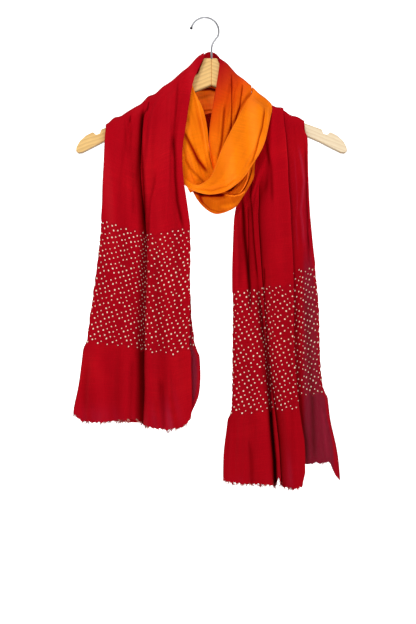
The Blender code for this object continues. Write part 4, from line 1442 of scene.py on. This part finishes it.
def dyed_color(tree, uneven, colors):
    """The dye's colour, from red over red orange to orange."""
    dye = mask_on(tree, "dye")
    swing = calculate(tree, "MULTIPLY", uneven, calculate(tree, "ADD", dye, DYE_UNEVEN_LEAST))
    ramp = add_node(
        tree, "ShaderNodeValToRGB", {"Fac": calculate(tree, "ADD", dye, swing, clamp=True)}
    )
    stops = ramp.color_ramp.elements
    stops[0].color = opaque(colors.red)
    stops[1].color = opaque(colors.orange)
    stops.new(0.5).color = opaque(colors.red_orange)
    return ramp.outputs["Color"]


def cloth_material(name, colors, groups, dotted):
    """Soft dyed cloth: its dye, its painted shade and painted highlights, its light painted through
    single layers, its dots and its weave.
    """
    material, tree, shader = new_material(name, CLOTH_FINISH)
    chart = add_node(tree, "ShaderNodeUVMap", uv_map="Cloth").outputs["UV"]
    cloud = noise(tree, own_place(tree), DYE_CLOUD_SCALE, 3.0)["Fac"]
    uneven = calculate(tree, "MULTIPLY", calculate(tree, "SUBTRACT", cloud, 0.5), DYE_UNEVEN)
    dyed = dyed_color(tree, uneven, colors)
    weave = place_group(tree, groups.weave, {"Vector": chart})
    tone = calculate(tree, "MULTIPLY_ADD", weave["Slub"], SLUB_TONE, uneven)
    color = brighten(tree, ease_between(tree, tone, *SLUB_TONES), dyed, {"Value": SLUB_LIGHT})
    # Painted light through a single layer: its colour, and a little real see-through in the alpha
    sheer = mask_on(tree, "sheer")
    painted = calculate(tree, "MULTIPLY", sheer, SHEER_PAINT)
    color = blend_colors(tree, painted, color, opaque(colors.sheer))
    shade = mask_on(tree, "shade")
    # Painted shade in folds and laps, and near black painted shadow where the shade passes 1
    color = darken(tree, calculate(tree, "MAXIMUM", shade, 0.0, clamp=True), color, PAINTED_SHADE_TINT)
    color = darken(tree, calculate(tree, "SUBTRACT", shade, 1.0, clamp=True), color, PAINTED_GAP_SHADOW_TINT)
    # Painted highlight where the shade is below 0
    painted_light = calculate(tree, "MULTIPLY", shade, -1.0, clamp=True)
    color = brighten(tree, painted_light, color, PAINTED_HIGHLIGHT)
    height = calculate(tree, "MULTIPLY", weave["Height"], WEAVE_HEIGHT)
    if dotted:
        dots = place_group(tree, groups.dots, {"Vector": chart})
        zone = calculate(tree, "MULTIPLY", dots["Zone"], ZONE_PAINT)
        color = blend_colors(tree, zone, color, opaque(colors.zone))
        shadow = calculate(tree, "MULTIPLY", shade, DOT_SHADOW, clamp=True)
        shown = calculate(tree, "MULTIPLY", dots["Dots"], calculate(tree, "SUBTRACT", 1.0, shadow))
        color = blend_colors(tree, shown, color, opaque(colors.dot))
        height = calculate(tree, "ADD", height, dots["Height"])
    set_inputs(tree, shader, {
        "Base Color": color,
        "Sheen Tint": dyed,
        "Specular Tint": dyed,
        "Normal": bump(tree, height, *CLOTH_BUMP),
        "Alpha": calculate(tree, "SUBTRACT", 1.0, calculate(tree, "MULTIPLY", sheer, SHEER_OPEN)),
        "Roughness": calculate(tree, "MULTIPLY_ADD", weave["Slub"], *CLOTH_ROUGH),
    })
    return material


def thread_material(name, paint):
    """Dyed loose thread, uneven along its length."""
    material, tree, shader = new_material(name, THREAD_FINISH)
    cloud = noise(tree, own_place(tree), THREAD_CLOUD_SCALE)["Fac"]
    pale = blend_colors(tree, THREAD_PALE, opaque(paint.red), opaque(paint.dot))
    color = blend_colors(tree, ease_between(tree, cloud, *THREAD_TONES), opaque(paint.zone), pale)
    set_inputs(tree, shader, {"Base Color": color})
    return material


def pine_material(name, turn, groups):
    """Pale varnished pine with its grain along the arm, paler towards the right end, and with painted
    shade on faces that look down.
    """
    material, tree, shader = new_material(name, PINE_FINISH)
    place = own_place(tree)
    grain = place_group(tree, groups.grain, {"Vector": mapped(tree, place, Rotation=(0, turn, 0))})
    pores = grain["Pores"]
    rings = ease_between(tree, grain["Rings"], *RING_TONES)
    fine = calculate(tree, "MULTIPLY", pores, PORE_SHARE)
    share = calculate(tree, "MULTIPLY_ADD", rings, RING_SHARE, fine, clamp=True)
    out = add_node(tree, "ShaderNodeSeparateXYZ", {"Vector": place}).outputs["X"]
    end_pale = ease_between(tree, out, END_PALE_FROM, END_PALE_TO)
    pale = blend_colors(tree, end_pale, opaque(PINE_PALE), opaque(PINE_END_PALE))
    deep = blend_colors(tree, end_pale, opaque(PINE_DEEP), opaque(PINE_END_PALE_DEEP))
    color = blend_colors(tree, share, pale, deep)
    # Painted shade on faces that look down
    facing = add_node(tree, "ShaderNodeNewGeometry").outputs["Normal"]
    up = add_node(tree, "ShaderNodeSeparateXYZ", {"Vector": facing}).outputs["Z"]
    below = ease_between(tree, up, *UNDER_SHADE_FACING)
    set_inputs(tree, shader, {
        "Base Color": blend_colors(tree, below, color, opaque(PINE_UNDER_SHADE)),
        "Roughness": calculate(tree, "MULTIPLY_ADD", pores, *PINE_ROUGH),
        "Normal": bump(tree, calculate(tree, "ADD", pores, rings), *PINE_BUMP),
    })
    return material


def wire_material(name, color):
    """Bright plated wire, a little uneven."""
    material, tree, shader = new_material(name, WIRE_FINISH)
    wear = noise(tree, own_place(tree), WIRE_WEAR_SCALE, 3.0)["Fac"]
    dull = tuple(WIRE_DULL * part for part in color)
    worn = ease_between(tree, wear, *WIRE_TONES)
    set_inputs(tree, shader, {
        "Base Color": blend_colors(tree, worn, opaque(color), opaque(dull)),
        "Roughness": calculate(tree, "MULTIPLY_ADD", wear, *WIRE_ROUGH),
    })
    return material


# How far the second turn's strand reaches out, and where the right tail's folds
# may first show
TURN_TWO_REACH = 1.5
RIGHT_FOLDS_FROM = 0.26


def reach_out(rows, extra):
    """Let a strand reach its neighbour where both lie over the arm."""
    reached = []
    for row in rows[:len(ARM_STEPS)]:
        x, depth, height = row.right
        reached.append(row._replace(right=(x + extra, depth, height - extra / 2)))
    return reached + rows[len(ARM_STEPS):]


TAIL_STRETCHES = [
    Stretch(
        "tail_left", TAIL_LEFT, TAIL_LEFT_FOLDS, LEFT_CREASES, tail_layers, "red_cloth",
        flat=(0.36, 0.66), rests_on=["hanger_arm_left"], dye=[(-700, 0), (0, 0)], dusk=0.0,
        laps=LEFT_LAPS, hem=LEFT_HEM, dots=LEFT_DOTS, patches=LEFT_PATCHES, seed=11,
    ),
    Stretch(
        "tail_right", TAIL_RIGHT,
        [fold._replace(first=max(fold.first, RIGHT_FOLDS_FROM)) for fold in TAIL_RIGHT_FOLDS],
        RIGHT_CREASES, tail_layers, "red_cloth",
        flat=(0.32, 0.68), rests_on=["hanger_arm_right"], dye=[(-700, 0), (0, 0)], dusk=0.07,
        laps=RIGHT_LAPS, hem=RIGHT_HEM, dots=RIGHT_DOTS, patches=RIGHT_PATCHES,
        back_creases=RIGHT_BACK_CREASES, back_dots=RIGHT_BACK_DOTS, back_hem=RIGHT_BACK_HEM,
        lifts=TAIL_RIGHT_UNDER_LIFT, seed=23, sheer_from=156,
    ),
]
LOOP_STRETCHES = [
    Stretch(
        "turn_one_right", TURN_ONE_RIGHT, TURN_ONE_RIGHT_FOLDS, FIRST_TURN_CREASES,
        strand_layers, "red_cloth", flat=(0.08, 0.24), rests_on=["hanger_arm_right"],
        dye=[(-250, 1.0), (-205, 0.85), (-155, 0.55), (-115, 0.22), (-75, 0.0)], dusk=0.04,
        seed=31, tilt=1.2,
    ),
    Stretch(
        "loop_left", LOOP_LEFT, LOOP_LEFT_FOLDS, LEFT_LOOP_CREASES,
        strand_layers, "orange_cloth", flat=(0.09, 0.22), rests_on=["hanger_arm_left"],
        dye=[(-140, 1.0), (-90, 0.9)], dusk=0.0, seed=37,
    ),
    Stretch(
        "turn_two_right", reach_out(TURN_TWO_RIGHT, TURN_TWO_REACH), TURN_TWO_RIGHT_FOLDS,
        SECOND_TURN_CREASES, strand_layers, "orange_cloth", flat=(0.075, 0.24),
        rests_on=["hanger_arm_right"], dye=[(-170, 1.0), (-118, 0.8)], dusk=0.0, seed=41,
    ),
    Stretch(
        "loop_foot", LOOP_FOOT, LOOP_FOOT_FOLDS, FOOT_CREASES,
        strand_layers, "orange_cloth", flat=(0.05, 0.16), rests_on=["loop_left"],
        dye=[(-330, 0.95), (-260, 0.95)], dusk=0.5, seed=43,
    ),
]
BAND_STRETCHES = [
    Stretch(
        "neck_band_upper", BAND_UPPER, BAND_UPPER_FOLDS, UPPER_BAND_CREASES,
        band_layers, "red_cloth", flat=(0.05, 0.27), rests_on=["hanger_arm_left"],
        dye=[(-118, 0.9), (-100, 0.3), (-84, 0.0)], dusk=0.1, seed=53,
    ),
    Stretch(
        "neck_band_middle", BAND_MIDDLE, BAND_MIDDLE_FOLDS, BAND_CREASES,
        band_layers, "orange_cloth", flat=(0.035, 0.20), rests_on=["hanger_arm_left"],
        dye=[(-180, 0.5), (-130, 0.74)], dusk=-0.25, seed=59,
    ),
    # The lower band's dye is set towards red and its painted shade is high, as painted shade in the
    # hollow under the neck
    Stretch(
        "neck_band_lower", BAND_LOWER, BAND_LOWER_FOLDS, BAND_CREASES,
        band_layers, "orange_cloth", flat=(0.04, 0.25), rests_on=["hanger_arm_left"],
        dye=[(-175, 0.05), (-158, 0.3)], dusk=0.7, seed=61,
    ),
]


class ScarfSizes(bpy.types.PropertyGroup):
    """Sizes of the cloth and its trim."""

    cloth_thickness: bpy.props.FloatProperty(
        name="Cloth thickness", description="How thick the woven cloth is",
        default=0.0006, min=0.0002, max=0.002, unit="LENGTH",
    )
    fringe_threads: bpy.props.IntProperty(
        name="Fringe threads", description="Loose threads along each raw hem",
        default=420, min=0, max=900,
    )


def dye_property(name, description, default):
    """A colour that a user would change."""
    return bpy.props.FloatVectorProperty(
        name=name, description=description, default=default, subtype="COLOR", size=3, min=0, max=1,
    )


class ScarfColors(bpy.types.PropertyGroup):
    """The dyes of the cloth."""

    red: dye_property("Red", "The dye of both ends", (0.40, 0.002, 0.008))
    red_orange: dye_property("Red orange", "Where the two dyes meet", (0.68, 0.058, 0.003))
    orange: dye_property("Orange", "The dye of the scarf's middle", (0.92, 0.205, 0.004))
    # The colour painted where light comes through one layer
    sheer: dye_property(
        "Single layer", "How the red looks where one layer shows the light", (0.24, 0.008, 0.03)
    )
    zone: dye_property(
        "Dotted zone", "The slightly deeper red round the dots", (0.26, 0.0015, 0.008)
    )
    dot: dye_property("Dots", "The undyed cloth of the tied dots", (0.93, 0.78, 0.60))


def lay_all(stretches, context):
    """Build these stretches with the panel's sizes and colours, one after another."""
    thickness = context.scene.scarf_sizes.cloth_thickness
    laid = []
    for stretch in stretches:
        finish = cloth_material(
            stretch.node + "_dyed", context.scene.scarf_colors, shared_groups(), bool(stretch.dots)
        )
        laid.append((stretch, *lay_stretch(stretch, thickness, finish)))
    return laid


class SCARF_OT_lay_tails(bpy.types.Operator):
    """Lay both dotted ends over the arms, with their fringes"""

    bl_idname = "scarf.lay_tails"
    bl_label = "Lay the two ends"

    def execute(self, context):
        count = context.scene.scarf_sizes.fringe_threads
        for stretch, piece, placed in lay_all(TAIL_STRETCHES, context):
            thread = thread_material(stretch.node + "_thread", context.scene.scarf_colors)
            fringe = add_fringe("fringe_" + stretch.node, placed[-1], count, stretch.seed, thread)
        return {"FINISHED"}


class SCARF_OT_lay_loops(bpy.types.Operator):
    """Lay the strands of the loop that hang before the hanger"""

    bl_idname = "scarf.lay_loops"
    bl_label = "Lay the loop"

    def execute(self, context):
        for stretch, piece, _ in lay_all(LOOP_STRETCHES, context):
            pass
        return {"FINISHED"}


class SCARF_OT_lay_bands(bpy.types.Operator):
    """Lay the bands that pass behind the neck of the hanger"""

    bl_idname = "scarf.lay_bands"
    bl_label = "Lay the neck bands"

    def execute(self, context):
        for stretch, piece, _ in lay_all(BAND_STRETCHES, context):
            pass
        return {"FINISHED"}


def add_glue_line(arm, material):
    """Fill the seam between the two arms with a thin line of glue and wood."""
    places = np.array([tuple(arm.matrix_world @ vert.co) for vert in arm.data.vertices]) / MM
    edge = places[:, 0].max()
    end = places[places[:, 0] > edge - 0.01]
    near, far = end[:, 1].min(), end[:, 1].max()
    low, high = end[:, 2].min(), end[:, 2].max()
    filler = bmesh.new()
    for front, back in (
        (near + GLUE_INSET, near + GLUE_DEPTH),
        (far - GLUE_DEPTH, far - GLUE_INSET),
    ):
        middle = Vector((edge + SEAM / 2, (front + back) / 2, (low + high) / 2)) * MM
        size = Vector((SEAM_FILL * SEAM, back - front, high - low - GLUE_SHORT)) * MM
        bmesh.ops.create_cube(filler, size=1.0, matrix=Matrix.LocRotScale(middle, None, size))
    line = new_piece("glue_line", mesh_of("glue_line", filler))
    line.data.materials.append(material)
    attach(line, "root")


def add_hook_tip(material):
    """The dark rounded tip at the hook's open end."""
    ball = bmesh.new()
    bmesh.ops.create_uvsphere(ball, u_segments=20, v_segments=12, radius=HOOK_TIP_RADIUS * MM)
    bmesh.ops.translate(ball, verts=ball.verts[:], vec=Vector(HOOK_TIP) * MM)
    tip = new_piece("hook_tip", mesh_of("hook_tip", ball))
    tip.data.shade_smooth()
    tip.data.materials.append(material)
    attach(tip, "root")


class SCARF_OT_finish_hanger(bpy.types.Operator):
    """Give the hanger its pine grain and plated wire, and the hook its tip"""

    bl_idname = "scarf.finish_hanger"
    bl_label = "Finish the hanger"

    def execute(self, context):
        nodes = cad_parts
        left = pine_material("pine_left", GRAIN_TURN, shared_groups())
        right = pine_material("pine_right", -GRAIN_TURN, shared_groups())
        nodes["hanger_arm_left"].material_slots[0].material = left
        nodes["hanger_arm_right"].material_slots[0].material = right
        nodes["hanger_hook"].material_slots[0].material = wire_material("plated_wire", WIRE)
        add_glue_line(nodes["hanger_arm_left"], left)
        add_hook_tip(wire_material("tip_dark", TIP_DARK))
        return {"FINISHED"}


# The stage, in metres. The profile is the backdrop's, as y and z.
STAGE_WIDTH = 16.0
FLOOR_LEVEL = -1.35
WALL_BACK = 4.5
WALL_TOP = 4.0
STAGE_PROFILE = {
    -1: (-STAGE_WIDTH / 2, FLOOR_LEVEL),
    0: (WALL_BACK, FLOOR_LEVEL),
    1: (WALL_BACK, WALL_TOP),
}
SWEEP_WIDTH = 0.6
SWEEP_STEPS = 16
WHITE = (1.0, 1.0, 1.0, 1.0)
BACKDROP_FINISH = {
    "Base Color": (0.92, 0.92, 0.92, 1.0),
    "Roughness": 0.9,
    "Emission Color": WHITE,
    "Emission Strength": 0.8,
}
SKY_STRENGTH = 0.28

# The soft lamps, which face the scarf's middle, and the camera
Lamp = namedtuple("Lamp", "name place size power")
LAMPS = (
    Lamp("key", (-0.9, -2.2, 1.2), 0.7, 26.0),
    Lamp("fill", (1.7, -1.9, 0.0), 1.2, 5.0),
    Lamp("top", (0.2, -0.6, 1.6), 1.0, 8.0),
)
LAMP_AIM = Vector((0.0, 0.0, -0.4))
CAMERA_PLACE = (0.0027, -2.4, -0.487)
VIEW_HEIGHT = 1.035
FILM = 36.0


def add_backdrop():
    """A pale floor that sweeps up into a wall behind the hanger."""
    sweep = bmesh.new()
    bmesh.ops.create_grid(sweep, x_segments=1, y_segments=2, size=1.0)
    for vert in sweep.verts:
        side = math.copysign(STAGE_WIDTH / 2, vert.co.x)
        vert.co = (side, *STAGE_PROFILE[round(vert.co.y)])
    backdrop = new_piece("backdrop", mesh_of("backdrop", sweep))
    curve = backdrop.modifiers.new("Sweep", "BEVEL")
    curve.width = SWEEP_WIDTH
    curve.segments = SWEEP_STEPS
    backdrop.data.materials.append(new_material("pale_backdrop", BACKDROP_FINISH)[0])


def add_lamp(lamp, collection):
    """One soft round lamp that faces the scarf."""
    light = bpy.data.lights.new(lamp.name, "AREA")
    light.shape = "DISK"
    light.size = lamp.size
    light.energy = lamp.power
    made = bpy.data.objects.new(lamp.name, light)
    made.location = lamp.place
    made.rotation_euler = (LAMP_AIM - Vector(lamp.place)).to_track_quat("-Z", "Y").to_euler()
    collection.objects.link(made)


class SCARF_OT_set_stage(bpy.types.Operator):
    """Set up the pale stage, the soft lights and the camera"""

    bl_idname = "scarf.set_stage"
    bl_label = "Set the stage"

    def execute(self, context):
        scene = context.scene
        add_backdrop()
        world = bpy.data.worlds.new("soft_studio")
        world.use_nodes = True
        sky = world.node_tree.nodes["Background"]
        set_inputs(world.node_tree, sky, {"Color": WHITE, "Strength": SKY_STRENGTH})
        scene.world = world
        scene.view_settings.view_transform = "Standard"
        for lamp in LAMPS:
            add_lamp(lamp, scene.collection)
        lens = bpy.data.cameras.new("front_view")
        lens.lens = FILM * abs(CAMERA_PLACE[1]) / VIEW_HEIGHT
        camera = bpy.data.objects.new("front_view", lens)
        camera.location = CAMERA_PLACE
        camera.rotation_euler = (math.pi / 2, 0.0, 0.0)
        scene.collection.objects.link(camera)
        scene.camera = camera
        return {"FINISHED"}


class SCARF_PT_panel(bpy.types.Panel):
    """Lists the steps that build the scarf"""

    bl_idname = "SCARF_PT_panel"
    bl_label = "Tie-dye scarf"
    bl_space_type = "VIEW_3D"
    bl_region_type = "UI"
    bl_category = "Scarf"

    def draw(self, context):
        for group in (context.scene.scarf_sizes, context.scene.scarf_colors):
            for name in group.__annotations__:
                self.layout.prop(group, name)
        for operator in OPERATORS:
            self.layout.operator(operator.bl_idname)


OPERATORS = (
    SCARF_OT_lay_tails,
    SCARF_OT_lay_loops,
    SCARF_OT_lay_bands,
    SCARF_OT_finish_hanger,
    SCARF_OT_set_stage,
)
CLASSES = (ScarfSizes, ScarfColors, *OPERATORS, SCARF_PT_panel)


def register():
    for made in CLASSES:
        bpy.utils.register_class(made)
    bpy.types.Scene.scarf_sizes = bpy.props.PointerProperty(type=ScarfSizes)
    bpy.types.Scene.scarf_colors = bpy.props.PointerProperty(type=ScarfColors)


def unregister():
    del bpy.types.Scene.scarf_colors
    del bpy.types.Scene.scarf_sizes
    for made in reversed(CLASSES):
        bpy.utils.unregister_class(made)


def main():
    register()
    bpy.ops.scarf.lay_tails()
    bpy.ops.scarf.lay_loops()
    bpy.ops.scarf.lay_bands()
    bpy.ops.scarf.finish_hanger()
    bpy.ops.scarf.set_stage()
    bpy.context.view_layer.update()


if __name__ == "__main__":
    main()
